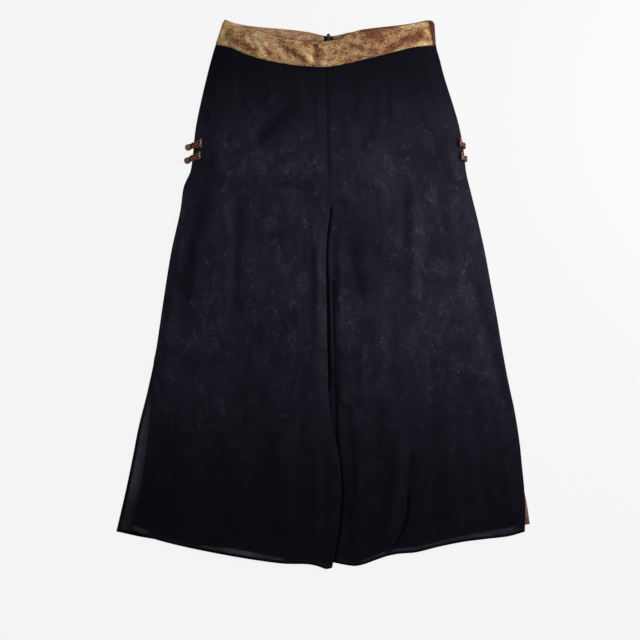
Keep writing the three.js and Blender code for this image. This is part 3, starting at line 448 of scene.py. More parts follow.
@dataclass(frozen=True)
class Patch:
    """A surface between two sides and two ends.

    Each point is the sum of the surface ruled between the sides and the one ruled between the ends, less
    the one through the four corners.
    """

    outer: Edge
    inner: Edge
    top: Edge
    bottom: Edge
    outer_ends: Place
    inner_ends: Place

    def grid(self, u: Array, v: Array) -> tuple[Array, Array]:
        """Works the patch out at u across, from outer to inner, and v down.

        Args:
            u: values from 0 to 1, one a column.
            v: values from 0 to 1, one a row.

        Returns:
            The x and y of each row and column.
        """
        uu, vv = np.meshgrid(u, v)
        ya, yb = mix(*self.outer_ends, vv), mix(*self.inner_ends, vv)
        xa, xb = self.outer(ya), self.inner(yb)
        corner = [
            (edge(np.array([end]))[0], end)
            for edge, ends in ((self.outer, self.outer_ends), (self.inner, self.inner_ends))
            for end in ends
        ]
        (ax0, ay0), (ax1, ay1), (bx0, by0), (bx1, by1) = corner
        top_x, low_x = mix(ax0, bx0, uu), mix(ax1, bx1, uu)
        x = mix(xa, xb, uu)
        flat_y = mix(mix(ay0, by0, uu), mix(ay1, by1, uu), vv)
        y = mix(ya, yb, uu) + mix(self.top(top_x), self.bottom(low_x), vv) - flat_y
        return x, y


def added(name: str, data: bpy.types.ID) -> Piece:
    """A new object in the scene."""
    made = bpy.data.objects.new(name, data)
    bpy.context.scene.collection.objects.link(made)
    return made


def mesh_object(
    name: str,
    verts: Array,
    faces: Array,
    uv: Array | None = None,
    attributes: dict[str, Array] | None = None,
    sharp: float | None = None,
) -> Piece:
    """Puts a closed mesh into the scene with its faces turned outwards.

    The signed volume, a sixth of the sum over faces of a corner dotted with the cross of the next two, is
    below 0 when the faces point inwards, and then each is turned round.

    Args:
        name: the object's name.
        verts: corners in metres.
        faces: four corner numbers a face.
        uv: two values a corner point, or None.
        attributes: one value a corner point for each name.
        sharp: the angle in degrees above which an edge stays sharp, or None for all smooth.

    Returns:
        The new object.
    """
    a, b, c, d = (verts[faces[:, k]] for k in range(4))
    volume = np.einsum("ij,ij->", a, np.cross(b, c)) + np.einsum("ij,ij->", a, np.cross(c, d))
    if volume < 0:
        faces = faces[:, ::-1]
    mesh = bpy.data.meshes.new(name)
    mesh.vertices.add(len(verts))
    mesh.vertices.foreach_set("co", verts.astype(np.float32).ravel())
    mesh.loops.add(faces.size)
    mesh.loops.foreach_set("vertex_index", faces.astype(np.int32).ravel())
    mesh.polygons.add(len(faces))
    mesh.polygons.foreach_set("loop_start", np.arange(0, faces.size, 4, dtype=np.int32))
    mesh.update(calc_edges=True)
    mesh.validate(clean_customdata=False)
    if uv is not None:
        layer = mesh.uv_layers.new(name="cut")
        corners = np.empty(len(mesh.loops), dtype=np.int32)
        mesh.loops.foreach_get("vertex_index", corners)
        layer.data.foreach_set("uv", uv[corners].astype(np.float32).ravel())
    for key, values in (attributes or {}).items():
        held = mesh.attributes.new(key, "FLOAT", "POINT")
        held.data.foreach_set("value", values.astype(np.float32).ravel())
    mesh.shade_smooth()
    if sharp is not None:
        mesh.set_sharp_from_angle(angle=math.radians(sharp))
    return added(name, mesh)


def quads(n: Array) -> Array:
    """The faces between the rows and columns of a grid of corner numbers."""
    return np.stack([n[:-1, :-1], n[1:, :-1], n[1:, 1:], n[:-1, 1:]], axis=-1).reshape(-1, 4)


def cap(ring: Array) -> Array:
    """The faces that close a ring of corner numbers, strip by strip."""
    back = ring[::-1]
    return np.array([[ring[j], ring[j + 1], back[j + 1], back[j]] for j in range(len(ring) // 2 - 1)])


def wall(
    name: str,
    x: Array,
    y: Array,
    top: Array,
    bottom: Array,
    attributes: dict[str, Array] | None = None,
) -> Piece:
    """Makes a closed sheet from a grid: its upper face, its under face and the rim between them.

    Args:
        name: the object's name.
        x: place across of each grid point, in millimetres.
        y: place up of each grid point.
        top: height of the upper face.
        bottom: height of the under face.
        attributes: one value a grid point for each name.

    Returns:
        The new object.
    """
    rows, columns = x.shape
    count = rows * columns
    verts = np.concatenate([np.stack([x, y, z], axis=-1).reshape(-1, 3) for z in (top, bottom)]) * MM
    n = np.arange(count).reshape(rows, columns)
    ring = np.concatenate([n[0, :-1], n[:-1, -1], n[-1, :0:-1], n[:0:-1, 0]])
    after = np.roll(ring, -1)
    rim = np.stack([ring, after, after + count, ring + count], axis=-1)
    faces = np.concatenate([quads(n), quads(n + count)[:, ::-1], rim])
    uv = np.tile(np.stack([x, y], axis=-1).reshape(-1, 2) * MM, (2, 1))
    both = {key: np.tile(np.broadcast_to(v, x.shape).ravel(), 2) for key, v in (attributes or {}).items()}
    return mesh_object(name, verts, faces, uv, both, sharp=58)


def spaced(count: int) -> Array:
    """Even steps from 0 to 1."""
    return np.linspace(0, 1, count + 1)


def smooth_path(points: Array, count: int) -> Array:
    """Runs a Catmull-Rom curve through points and returns count places evenly spread along it."""
    p = np.vstack([2 * points[0] - points[1], points, 2 * points[-1] - points[-2]])
    s = np.linspace(0, len(points) - 1 - 1e-9, 24 * len(points))
    i = s.astype(int)
    t = (s - i)[:, None]
    a, b, c, d = p[i], p[i + 1], p[i + 2], p[i + 3]
    curve = 0.5 * (2 * b + (c - a) * t + (2 * a - 5 * b + 4 * c - d) * t**2 + (3 * b - a - 3 * c + d) * t**3)
    length = np.concatenate([[0], np.cumsum(np.linalg.norm(np.diff(curve, axis=0), axis=1))])
    even = np.linspace(0, length[-1], count)
    return np.stack([np.interp(even, length, curve[:, k]) for k in range(3)], axis=1)


def tube_parts(path: Array, radius: Array, sides: int, closed: bool = False, twist: float = 0.0) -> tuple:
    """Carries a circle along a path, and closes its ends with small domes unless it meets itself.

    The circle's frame is turned from one place to the next with the path's direction. Its radius swells
    once a turn, by a sixteenth, so that the bias seam of a rouleau winds round it.

    Args:
        path: places in millimetres.
        radius: radius at each place.
        sides: points round the circle.
        closed: whether the path's end meets its start.
        twist: turns of the seam along the whole path.

    Returns:
        Corners in millimetres, faces, and (along, round) for each corner.
    """
    ahead = np.roll(path, -1, axis=0) - np.roll(path, 1, axis=0)
    if not closed:
        ahead[0], ahead[-1] = path[1] - path[0], path[-1] - path[-2]
    ahead /= np.linalg.norm(ahead, axis=1, keepdims=True)
    first = np.cross(ahead[0], [0.0, 0.0, 1.0] if abs(ahead[0][2]) < 0.9 else [0.0, 1.0, 0.0])
    normal = [first / np.linalg.norm(first)]
    for direction in ahead[1:]:
        kept = normal[-1] - direction * np.dot(normal[-1], direction)
        normal.append(kept / np.linalg.norm(kept))
    across = np.array(normal)
    if closed:
        slip = math.atan2(np.dot(np.cross(across[-1], across[0]), ahead[0]), np.dot(across[-1], across[0]))
        turn = np.linspace(0, slip, len(path))[:, None]
        across = across * np.cos(turn) + np.cross(ahead, across) * np.sin(turn)
    up = np.cross(ahead, across)
    angle = np.linspace(0, 2 * math.pi, sides, endpoint=False)
    along = np.linspace(0, 1, len(path))
    swell = 1 + np.cos(angle[None, :] - 2 * math.pi * twist * along[:, None]) / 16
    reach = (radius[:, None] * (swell if twist else np.ones_like(swell)))[..., None]
    ring = path[:, None, :] + reach * (
        across[:, None, :] * np.cos(angle)[None, :, None] + up[:, None, :] * np.sin(angle)[None, :, None]
    )
    n = np.arange(len(path) * sides).reshape(-1, sides)
    wide = np.concatenate([n, n[:, :1]], axis=1)
    faces = quads(np.concatenate([wide, wide[:1]]) if closed else wide)
    verts = ring.reshape(-1, 3)
    uv = np.stack(np.meshgrid(along, angle / (2 * math.pi), indexing="ij"), axis=-1).reshape(-1, 2)
    if closed:
        return verts, faces, uv
    for row, sign in ((0, -1), (len(path) - 1, 1)):
        dome = path[row] + (ring[row] - path[row]) * 0.62 + sign * ahead[row] * radius[row] * 0.5
        tip = path[row] + (ring[row] - path[row]) * 0.05 + sign * ahead[row] * radius[row] * 0.72
        base = len(verts)
        verts = np.vstack([verts, dome, tip])
        uv = np.vstack([uv, uv[n[row]], uv[n[row]]])
        k = np.arange(sides)
        rings = np.stack([n[row], base + k, base + sides + k])
        for a, b in ((rings[0], rings[1]), (rings[1], rings[2])):
            quad = np.stack([a, np.roll(a, -1), np.roll(b, -1), b], axis=-1)
            faces = np.vstack([faces, quad if sign > 0 else quad[:, ::-1]])
        tip_faces = cap(rings[2])
        faces = np.vstack([faces, tip_faces if sign > 0 else tip_faces[:, ::-1]])
    return verts, faces, uv


def joined(parts: Sequence[tuple]) -> tuple[Array, Array, Array]:
    """Puts several (corners, faces, uv) together as one."""
    starts = np.cumsum([0] + [len(p[0]) for p in parts[:-1]])
    return (
        np.vstack([p[0] for p in parts]),
        np.vstack([p[1] + s for p, s in zip(parts, starts, strict=True)]),
        np.vstack([p[2] for p in parts]),
    )


def pillow_parts(centre: Place3, half: Place3, power: float, rows: int, columns: int) -> tuple:
    """A rounded block: a ball whose sines and cosines are raised to 2 / power, so its faces flatten.

    Args:
        centre: its middle, in millimetres.
        half: half its size along x, y and z.
        power: 2 is an ellipsoid, and more is boxier.
        rows: rings from end to end.
        columns: points round a ring.

    Returns:
        Corners, faces and (along, round) for each corner.
    """
    lat = np.linspace(-math.pi / 2 + 0.02, math.pi / 2 - 0.02, rows)[:, None]
    lon = np.linspace(0, 2 * math.pi, columns, endpoint=False)[None, :]
    k = 2 / power

    def bent(value: Array) -> Array:
        """A power that keeps its sign."""
        return np.sign(value) * np.abs(value) ** k

    x = bent(np.cos(lat)) * bent(np.cos(lon))
    z = bent(np.cos(lat)) * bent(np.sin(lon))
    y = bent(np.sin(lat)) * np.ones_like(lon)
    verts = np.stack([x * half[0] + centre[0], y * half[1] + centre[1], z * half[2] + centre[2]], axis=-1)
    n = np.arange(rows * columns).reshape(rows, columns)
    faces = np.vstack([quads(np.concatenate([n, n[:, :1]], axis=1)), cap(n[0]), cap(n[-1])[:, ::-1]])
    uv = np.stack(np.meshgrid(lat.ravel(), lon.ravel(), indexing="ij"), axis=-1).reshape(-1, 2)
    return verts.reshape(-1, 3), faces, uv


class Nodes:
    """A small builder of one material's node tree."""

    def __init__(self, name: str) -> None:
        """Starts an empty material with its shader and output."""
        self.material = bpy.data.materials.new(name)
        self.material.use_nodes = True
        self.tree = self.material.node_tree
        self.tree.nodes.clear()
        self.shader = self.tree.nodes.new("ShaderNodeBsdfPrincipled")
        out = self.tree.nodes.new("ShaderNodeOutputMaterial")
        self.tree.links.new(self.shader.outputs["BSDF"], out.inputs["Surface"])
        self.object = self.node("TexCoord", "Object")

    def feed(self, socket: Socket, value: object) -> None:
        """Links a socket, or sets a plain value."""
        if isinstance(value, Socket):
            self.tree.links.new(value, socket)
        elif isinstance(value, tuple) and len(value) == 3 and socket.type == "RGBA":
            socket.default_value = (*value, 1.0)
        else:
            socket.default_value = value

    def node(
        self, kind: str, out: str | int, inputs: dict[str | int, object] | None = None, **settings: object
    ) -> Socket:
        """Makes a node, sets it up and feeds it.

        Args:
            kind: the node's type.
            out: its output's name or number.
            inputs: a socket or a plain value for each input's name or number.
            settings: the node's own settings.

        Returns:
            The output.
        """
        node = self.tree.nodes.new(f"ShaderNode{kind}")
        for key, value in settings.items():
            setattr(node, key, value)
        for key, value in (inputs or {}).items():
            self.feed(node.inputs[key], value)
        return node.outputs[out]

    def set(self, **values: object) -> None:
        """Sets the shader's sockets; underscores stand for blanks."""
        for key, value in values.items():
            self.feed(self.shader.inputs[key.replace("_", " ")], value)

    def uv(self) -> Socket:
        """The piece's own UV map."""
        return self.node("UVMap", "UV", uv_map="cut")

    def attribute(self, name: str) -> Socket:
        """A value held by the mesh's points."""
        return self.node("Attribute", "Fac", attribute_name=name)

    def scaled(self, vector: Socket, scale: Place3, turn: float = 0.0) -> Socket:
        """Turns a pattern about Z and scales it."""
        return self.node("Mapping", "Vector", {"Vector": vector, "Rotation": (0, 0, turn), "Scale": scale})

    def noise(
        self, vector: Socket, scale: float, detail: float = 2.0, rough: float = 0.5, distort: float = 0.0
    ) -> Socket:
        """Cloudy noise from 0 to 1."""
        inputs = {"Vector": vector, "Scale": scale, "Detail": detail, "Roughness": rough}
        return self.node("TexNoise", "Fac", {**inputs, "Distortion": distort})

    def wave(self, vector: Socket, scale: float, direction: str, distort: float) -> Socket:
        """Bands from 0 to 1."""
        inputs = {"Vector": vector, "Scale": scale, "Distortion": distort, "Detail": 1.0}
        return self.node("TexWave", "Fac", inputs, bands_direction=direction)

    def axis(self, vector: Socket, name: str) -> Socket:
        """One coordinate of a vector."""
        return self.node("SeparateXYZ", name, {0: vector})

    def calc(self, kind: str, *values: object) -> Socket:
        """One piece of arithmetic."""
        return self.node("Math", 0, dict(enumerate(values)), operation=kind)

    plus = partialmethod(calc, "ADD")
    minus = partialmethod(calc, "SUBTRACT")
    times = partialmethod(calc, "MULTIPLY")

    def span(self, value: Socket, low: float, high: float, a: float = 0.0, b: float = 1.0) -> Socket:
        """Eases a value's range from low to high into a to b."""
        inputs = dict(enumerate((value, low, high, a, b)))
        return self.node("MapRange", 0, inputs, interpolation_type="SMOOTHSTEP")

    def blend(self, share: object, a: object, b: object) -> Socket:
        """Mixes two colours."""
        return self.node("Mix", 2, {0: share, 6: a, 7: b}, data_type="RGBA")

    def bump(self, height: Socket, strength: float, distance: float, under: Socket | None = None) -> Socket:
        """Turns heights into a bent normal, on top of another if given."""
        inputs = {"Strength": strength, "Distance": distance, "Height": height}
        return self.node("Bump", "Normal", inputs if under is None else {**inputs, "Normal": under})


@dataclass(frozen=True)
class SheerCloth:
    """Near-black navy crepe with a fine metallic thread, on a lining, sheer where it hangs alone."""

    deep: Place3 = (0.0038, 0.0035, 0.0067)
    pale: Place3 = (0.0300, 0.0262, 0.0430)
    sheer: Place3 = (0.056, 0.052, 0.065)
    spark: Place3 = (0.24, 0.23, 0.31)
    # colour of the painted shade in the deepest hollows
    painted_shade: Place3 = (0.0008, 0.0007, 0.0012)
    sheen: Place3 = (0.5, 0.45, 0.8)

    def material(self) -> bpy.types.Material:
        """Soft clouds of pale crepe carry short chains of sparks, with painted shade in hollows, painted
        highlight on swells and a painted falloff of light down the garment.
        """
        n = Nodes("sheer_cloth")
        height = n.axis(n.object, "Y")
        lie = n.attribute("lie")
        # The clouds follow the painted shading as well as noise
        clouds = n.plus(n.noise(n.object, 15, 4, 0.55, 0.6), n.times(lie, 0.26))
        mottle = n.noise(n.scaled(n.object, (110, 55, 80)), 1.0, 4, 0.6, 0.6)
        crepe = n.noise(n.object, 480, 3, 0.75)
        # Painted light falloff: brightest over the thighs, darker under the band and towards the hem
        painted_falloff = n.times(n.span(height, 0.40, 0.22), n.span(height, -0.36, -0.03, 0.12, 1.0))
        cloud = n.span(clouds, 0.26, 0.72)
        grain = n.plus(n.times(mottle, 0.6), n.times(crepe, 0.4))
        tone = n.times(n.plus(0.24, n.times(cloud, 0.26)), painted_falloff)
        tone = n.times(tone, n.span(grain, 0.30, 0.70, 0.72, 1.3))
        cloth = n.blend(tone, self.deep, self.pale)
        # Painted shade: the deepest hollows blend towards near black
        cloth = n.blend(n.span(lie, -1.1, -0.55, 0.92, 0.0), cloth, self.painted_shade)
        cloth = n.blend(n.attribute("sheer"), cloth, self.sheer)
        # The sparks are the metallic thread, but how many show follows the painted falloff and painted
        # shading, so they are partly painted glints
        beads = n.noise(n.object, 400, 1, 0.4)
        squiggle = n.noise(n.scaled(n.object, (170, 290, 200)), 1.0, 3, 0.6, 1.2)
        squiggle = n.span(n.calc("ABSOLUTE", n.minus(squiggle, 0.5)), 0.0, 0.05, 1.0, 0.0)
        clusters = n.noise(n.scaled(n.object, (52, 30, 40)), 1.0, 3, 0.6, 0.8)
        clusters = n.span(n.plus(clusters, n.times(lie, 0.1)), 0.46, 0.75)
        held = n.times(clusters, n.times(painted_falloff, n.span(lie, -0.6, 0.0)))
        dots = n.span(n.plus(beads, n.times(clusters, 0.05)), 0.708, 0.80)
        dots = n.times(dots, n.times(n.plus(0.17, n.times(held, 0.42)), painted_falloff))
        speck = n.plus(n.times(squiggle, n.times(held, 0.18)), dots)
        n.set(Base_Color=n.blend(speck, cloth, self.spark), Roughness=n.span(crepe, 0.3, 0.7, 0.62, 0.8))
        n.set(Metallic=n.times(speck, 0.6), Specular_IOR_Level=0.05, Sheen_Weight=0.02)
        n.set(Sheen_Roughness=0.5, Sheen_Tint=self.sheen)
        weave = n.plus(n.wave(n.object, 420, "X", 1.5), n.wave(n.object, 420, "Y", 1.5))
        n.set(Normal=n.bump(weave, 0.2, 0.00015, n.bump(crepe, 0.55, 0.0006)))
        return n.material


@dataclass(frozen=True)
class Lame:
    """A shot metallic cloth with a fine slubbed weave, in patches from dark copper to bright gold."""

    name: str = "lame"
    dark: Place3 = (0.130, 0.043, 0.020)
    copper: Place3 = (0.235, 0.088, 0.040)
    gold: Place3 = (0.460, 0.278, 0.128)
    shine: Place3 = (0.760, 0.550, 0.290)
    # seam and dark_red: the colours of painted shade at the band's folded right end and just above the front
    # band's top edge, and of the facing's darker, redder lower end
    seam: Place3 = (0.030, 0.006, 0.004)
    dark_red: Place3 = (0.130, 0.038, 0.022)

    def material(self) -> bpy.types.Material:
        """Slubs and patches choose the tone from dark through copper and gold to shine."""
        n = Nodes(self.name)
        slubs = n.noise(n.scaled(n.object, (560, 720, 600)), 1.0, 2, 0.6)
        crinkle = n.noise(n.scaled(n.object, (70, 130, 100), 0.5), 1.0, 3, 0.6, 0.6)
        patches = n.noise(n.object, 40, 2, 0.5, 0.4)
        tone = n.plus(n.times(slubs, 0.64), n.times(crinkle, 0.36))
        tone = n.plus(tone, n.times(n.minus(patches, 0.5), 0.22))
        # shot_and_sheen turns the tone copper or gold: partly the shot weave, partly painted shade and
        # highlight on the band's puckers
        tone = n.minus(tone, n.times(n.attribute("shot_and_sheen"), 0.1))
        cloth = n.blend(n.span(tone, 0.34, 0.44), self.dark, self.copper)
        cloth = n.blend(n.span(tone, 0.41, 0.52), cloth, self.gold)
        cloth = n.blend(n.span(tone, 0.53, 0.64), cloth, self.shine)
        # Painted shade, and the facing's redder end, where shade_and_red is set
        cloth = n.blend(n.attribute("shade_and_red"), cloth, n.blend(n.span(slubs, 0.35, 0.65), self.seam, self.dark_red))
        n.set(Base_Color=cloth, Metallic=0.55, Roughness=n.span(tone, 0.4, 0.62, 0.58, 0.4))
        n.set(Specular_IOR_Level=0.25)
        weave = n.plus(n.wave(n.object, 330, "X", 0.8), n.wave(n.object, 330, "Y", 0.8))
        n.set(Normal=n.bump(weave, 0.3, 0.0002, n.bump(tone, 0.7, 0.001)))
        return n.material


@dataclass(frozen=True)
class Rouleau:
    """The bias-cut metallic cord of the frogs: its threads wind round it."""

    shade: Place3 = (0.034, 0.008, 0.006)
    middle: Place3 = (0.120, 0.036, 0.024)
    shine: Place3 = (0.260, 0.105, 0.066)
    pale: Place3 = (0.360, 0.230, 0.170)

    def material(self) -> bpy.types.Material:
        """Slanting threads and flecks choose between three coppers, and knots and bars are paler, partly
        their own colour and partly painted highlight.
        """
        n = Nodes("rouleau")
        flecks = n.noise(n.object, 520, 2, 0.7)
        ribs = n.wave(n.scaled(n.uv(), (34, 5, 1), 0.6), 1.0, "DIAGONAL", 1.0)
        tone = n.plus(n.times(flecks, 0.7), n.times(ribs, 0.3))
        cloth = n.blend(n.span(tone, 0.32, 0.52), self.shade, self.middle)
        cloth = n.blend(n.span(tone, 0.52, 0.7), cloth, self.shine)
        faded = n.blend(n.span(tone, 0.36, 0.6), self.middle, self.pale)
        cloth = n.blend(n.attribute("pale"), cloth, faded)
        n.set(Base_Color=cloth, Metallic=0.45, Roughness=n.span(tone, 0.4, 0.62, 0.56, 0.36))
        n.set(Specular_IOR_Level=0.25, Normal=n.bump(tone, 0.7, 0.0006))
        return n.material


@dataclass(frozen=True)
class WovenTape:
    """Black twill zip tape."""

    colour: Place3 = (0.006, 0.006, 0.007)
    lint: Place3 = (0.02, 0.02, 0.024)

    def material(self) -> bpy.types.Material:
        """Slanting ribs with a little lint."""
        n = Nodes("woven_tape")
        ribs = n.wave(n.object, 380, "DIAGONAL", 0.4)
        lint = n.noise(n.object, 700, 2, 0.6)
        n.set(Base_Color=n.blend(n.span(lint, 0.5, 0.8), self.colour, self.lint))
        n.set(Roughness=n.span(ribs, 0, 1, 0.75, 0.95), Specular_IOR_Level=0.2)
        n.set(Normal=n.bump(ribs, 0.5, 0.0003))
        return n.material


@dataclass(frozen=True)
class GreyMetal:
    """Dark grey enamelled zip metal, worn brighter in places."""

    colour: Place3 = (0.024, 0.027, 0.030)
    worn: Place3 = (0.075, 0.080, 0.086)

    def material(self) -> bpy.types.Material:
        """Scratches and cast grain vary the shine."""
        n = Nodes("grey_metal")
        scratch = n.noise(n.scaled(n.object, (3000, 400, 3000)), 1.0, 3, 0.6)
        n.set(Base_Color=n.blend(n.span(scratch, 0.55, 0.75), self.colour, self.worn), Metallic=0.85)
        n.set(Roughness=n.span(scratch, 0.3, 0.7, 0.3, 0.45), Normal=n.bump(scratch, 0.15, 0.0001))
        return n.material


@dataclass(frozen=True)
class SewingThread:
    """Dark polyester thread."""

    colour: Place3 = (0.012, 0.011, 0.016)

    def material(self) -> bpy.types.Material:
        """Two-ply twist on a soft sheen."""
        n = Nodes("sewing_thread")
        ply = n.wave(n.object, 1500, "DIAGONAL", 0.5)
        n.set(Base_Color=n.blend(ply, self.colour, tuple(2 * c for c in self.colour)))
        n.set(Roughness=0.5, Sheen_Weight=0.2, Normal=n.bump(ply, 0.4, 0.0001))
        return n.material


@dataclass
class Dressing:
    """The materials, and the way that every piece gets its material and its body."""

    materials: dict[str, bpy.types.Material] = field(default_factory=dict)

    def __post_init__(self) -> None:
        """Makes each material once."""
        inside = (0.14, 0.048, 0.025), (0.26, 0.105, 0.058), (0.44, 0.24, 0.13), (0.70, 0.50, 0.30)
        pink = (0.13, 0.05, 0.042), (0.24, 0.115, 0.095), (0.33, 0.18, 0.15), (0.42, 0.27, 0.22)
        makers = {
            "cloth": SheerCloth(),
            "lame": Lame(),
            "lame_inside": Lame("lame_inside", *inside),
            "lame_pink": Lame("lame_pink", *pink),
            "rouleau": Rouleau(),
            "tape": WovenTape(),
            "metal": GreyMetal(),
            "thread": SewingThread(),
        }
        self.materials = {key: maker.material() for key, maker in makers.items()}

    def finish(
        self,
        piece: Piece,
        material: str,
        slot: Finish,
        replaces: Sequence[str] = (),
        body: str = "garment",
    ) -> Piece:
        """Gives a piece its material and its body, and the nodes that it stands for."""
        piece.data.materials.clear()
        piece.data.materials.append(self.materials[material])
        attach(piece, body)
        if replaces:
            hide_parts(*replaces)
        LOG.info("%s: %d faces", piece.name, len(piece.data.polygons))
        return piece


@dataclass
class LegPanels:
    """The four leg panels, their rolled hems and the stitches that hold them."""

    form: Form
    dressing: Dressing
    length: float = 860.0  # of a leg, which spaces its rows
    hem_zone: float = 28.0  # height over the hem where rows lie close together
    hem_width: float = 7.0
    hem_roll: float = 0.55
    stitch_line: float = 5.8
    stitch_pitch: float = 3.2
    stitch_half: Place3 = (0.2, 1.0, 0.16)
    crack: float = 0.06  # half the room at the centre-front seam
    seam_ridge: Place3 = (0.35, 5.5, 2.0)  # its height, how far from the seam, and half its width
    turned_edge: Place = (0.35, 6.2)  # height and width of the back's turned edge at a slit
    slit_sheer: float = 0.66
    columns: int = 112
    rows: int = 236

    def hem_rows(self) -> Array:
        """Rows down the leg, from 0 at its top to 1 at its edge, close together over the hem."""
        near = np.array(
            [24, 21, 18.5, 16.5, 14.8, 13.4, 12, 10.8, 9.7, 8.7, 7.8, 7.2, 6.6, 5.8, 4.6, 3.2, 1.9, 0.9, 0]
        )
        even = np.linspace(0, 1 - self.hem_zone / self.length, self.rows)
        return np.concatenate([even, 1 - near / self.length])

    def above_hem(self, across: Array) -> Array:
        """How far above the hem each grid point lies along the leg."""
        return (1 - self.hem_rows()[:, None]) * self.length * np.ones_like(across)[None, :]

    def front(self, side: Side) -> Patch:
        """The cut of a front leg."""
        form = self.form
        inner = form.inner(side)
        seam = through(form.front_seam)
        left = side is Side.LEFT
        return Patch(
            outer=form.side(side, "front"),
            inner=lambda y: inner(y) - self.crack if left else inner(y) + self.crack - form.tucked(y),
            top=lambda x: seam(x) - 2 * HALF_SEAM,
            bottom=through(form.hem_left if left else form.hem_right),
            outer_ends=(422, -400) if left else (421.1, -402),
            inner_ends=(383.6, -463) if left else (383.6, -454.5),
        )

    def back(self, side: Side) -> Patch:
        """The cut of a back leg."""
        form = self.form
        seam = through(form.back_seam)
        left = side is Side.LEFT
        return Patch(
            outer=form.side(side, "back"),
            inner=through(form.inner_back),
            top=lambda x: seam(x) - 2 * HALF_SEAM,
            bottom=through(form.hem_left_back if left else form.hem_right_back),
            outer_ends=(419.1, -402) if left else (419.6, -389.5),
            inner_ends=(392.6, -444),
        )

    def clear_strip(self, side: Side, x: Array, from_hem: Array) -> Array:
        """How sheer the cloth is just above the hem, where the lining ends short.

        Each side has a table of strengths by place across, and one of the strip's heights.
        """
        tables = {
            Side.LEFT: (
                ((-323, 0.4), (-303, 0.5), (-292, 0.0), (-209, 0.0), (-202, 0.4), (-172, 0.35), (-164, 0.8),
                 (-136, 0.9), (-110, 0.6), (-70, 0.4), (-62, 0.0), (16, 0.0)),
                ((-323, 6), (-301, 6), (-205, 4), (-160, 8), (-130, 8.5), (-66, 5), (16, 3)),
            ),
            Side.RIGHT: (
                ((18, 0.0), (64, 0.0), (72, 0.4), (104, 0.4), (108, 0.0), (114, 0.0), (118, 0.45), (160, 0.4),
                 (200, 0.22), (240, 0.25), (256, 0.38), (300, 0.36), (322, 0.32), (334, 0.0), (341, 0.0)),
                ((18, 3), (70, 4), (110, 5), (200, 5.5), (250, 7), (292, 10), (328, 11), (341, 8)),
            ),
        }
        strength, tall = (np.interp(x, *zip(*table, strict=True)) for table in tables[side])
        uneven = 1 + 0.5 * Waves(43, 1.0).height(x, 3 * from_hem)
        start = 4.6 - 2.4 * ease((-294 - x) / 12)
        return strength * uneven * ease((from_hem - start) / 1.2) * ease((5.6 + tall - from_hem) / 2.4)

    def hem_shape(self, from_hem: Array) -> Array:
        """Height that the turned hem adds: a soft shoulder, with a dip along its stitches."""
        shoulder = self.hem_roll * ease((self.hem_width + 0.6 - from_hem) / 1.2)
        rounded = 0.5 * (1 - ease(from_hem / 1.6))
        dip = 0.28 * np.exp(-(((from_hem - self.stitch_line) / 0.7) ** 2))
        return shoulder - rounded - dip

    def edge_roll(self, distance: Array, width: float = 1.8, depth: float = 0.45) -> Array:
        """Height lost where a folded edge rounds over: most at the edge, none past width."""
        return depth * (1 - ease(distance / width))

    def build(self) -> None:
        """Builds backs first and then fronts, the fronts with their stitches."""
        backs = [self.build_back(side) for side in Side]
        for side in Side:
            self.build_front(side, backs)

    def build_back(self, side: Side) -> Piece:
        """A back leg on the table, with faint creases off it and its outer edge turned in at the slit."""
        cut = self.back(side)
        near = [0, 0.004, 0.009, 0.014, 0.019, 0.025, 0.033, 0.043]
        across = np.concatenate([near, np.linspace(0.056, 1, 60)])
        x, y = cut.grid(across, self.hem_rows())
        from_hem = self.above_hem(across)
        outside = np.abs(x - cut.outer(y))
        slit = ease((-150 - y) / 60) if side is Side.LEFT else ease((-300 - y) / 20)
        thick, wide = self.turned_edge
        turned = thick * slit * ease((wide - outside) / 1.2)
        swell = 0.22 * (1 + Waves(96, 1.0, 1.2).height(x, y)) * ease(outside / 20) * ease(from_hem / 30)
        bottom = np.maximum(0.0, swell - 0.1)
        top = bottom + SHELL + turned + np.maximum(0, self.hem_shape(from_hem))
        top = top - self.edge_roll(outside, 1.4, 0.3)
        clear = slit * ease((outside - wide + 1) / 1.4) if side is Side.LEFT else np.zeros(x.shape)
        clear = self.slit_sheer * clear * mix(1.2, 0.35, ease((-310 - y) / 60))
        clear = clear * (1 + 0.2 * Waves(31, 1.0).height(x, y))
        clear = np.clip(clear * ease((from_hem - 5.5) / 2), 0, 1.2)
        name = f"back_leg_{side.value}"
        piece = wall(f"{name}_cloth", x, y, top, bottom, {"sheer": clear})
        self.dressing.finish(piece, "cloth", Finish.SHELL, [name])
        return piece

    def build_front(self, side: Side, backs: Sequence[Piece]) -> None:
        """A front leg on the backs, with all its folds, and the stitches of its hem."""
        cut = self.front(side)
        middle = np.linspace(0.023, 0.985, self.columns)
        across = np.concatenate([[0, 0.004, 0.009, 0.015], middle, [0.991, 0.996, 1]])
        x, y = cut.grid(across, self.hem_rows())
        from_hem = self.above_hem(across)
        floor = self.form.leg_floor(side, x, y)
        outside = np.abs(x - cut.outer(y))
        inside = np.abs(x - cut.inner(y))
        ridge, off, wide = self.seam_ridge
        seam = ridge * ease((y - CROTCH_Y - 10) / 40) * np.exp(-(((inside - off) / wide) ** 2))
        free = mix(0.3, 1, ease((CROTCH_Y + 20 - y) / 30))
        rolled = self.edge_roll(outside) + self.edge_roll(inside, 2.4, 0.6) * free
        top = floor + CLOTH + self.hem_shape(from_hem) + seam - rolled
        lie = self.form.lie(x, y)
        if side is Side.RIGHT:
            beside = x - self.form.inner(Side.LEFT)(y)
            top = top - 1.45 * ease((3.5 - beside) / 3) * ease((CROTCH_Y - y) / 10)
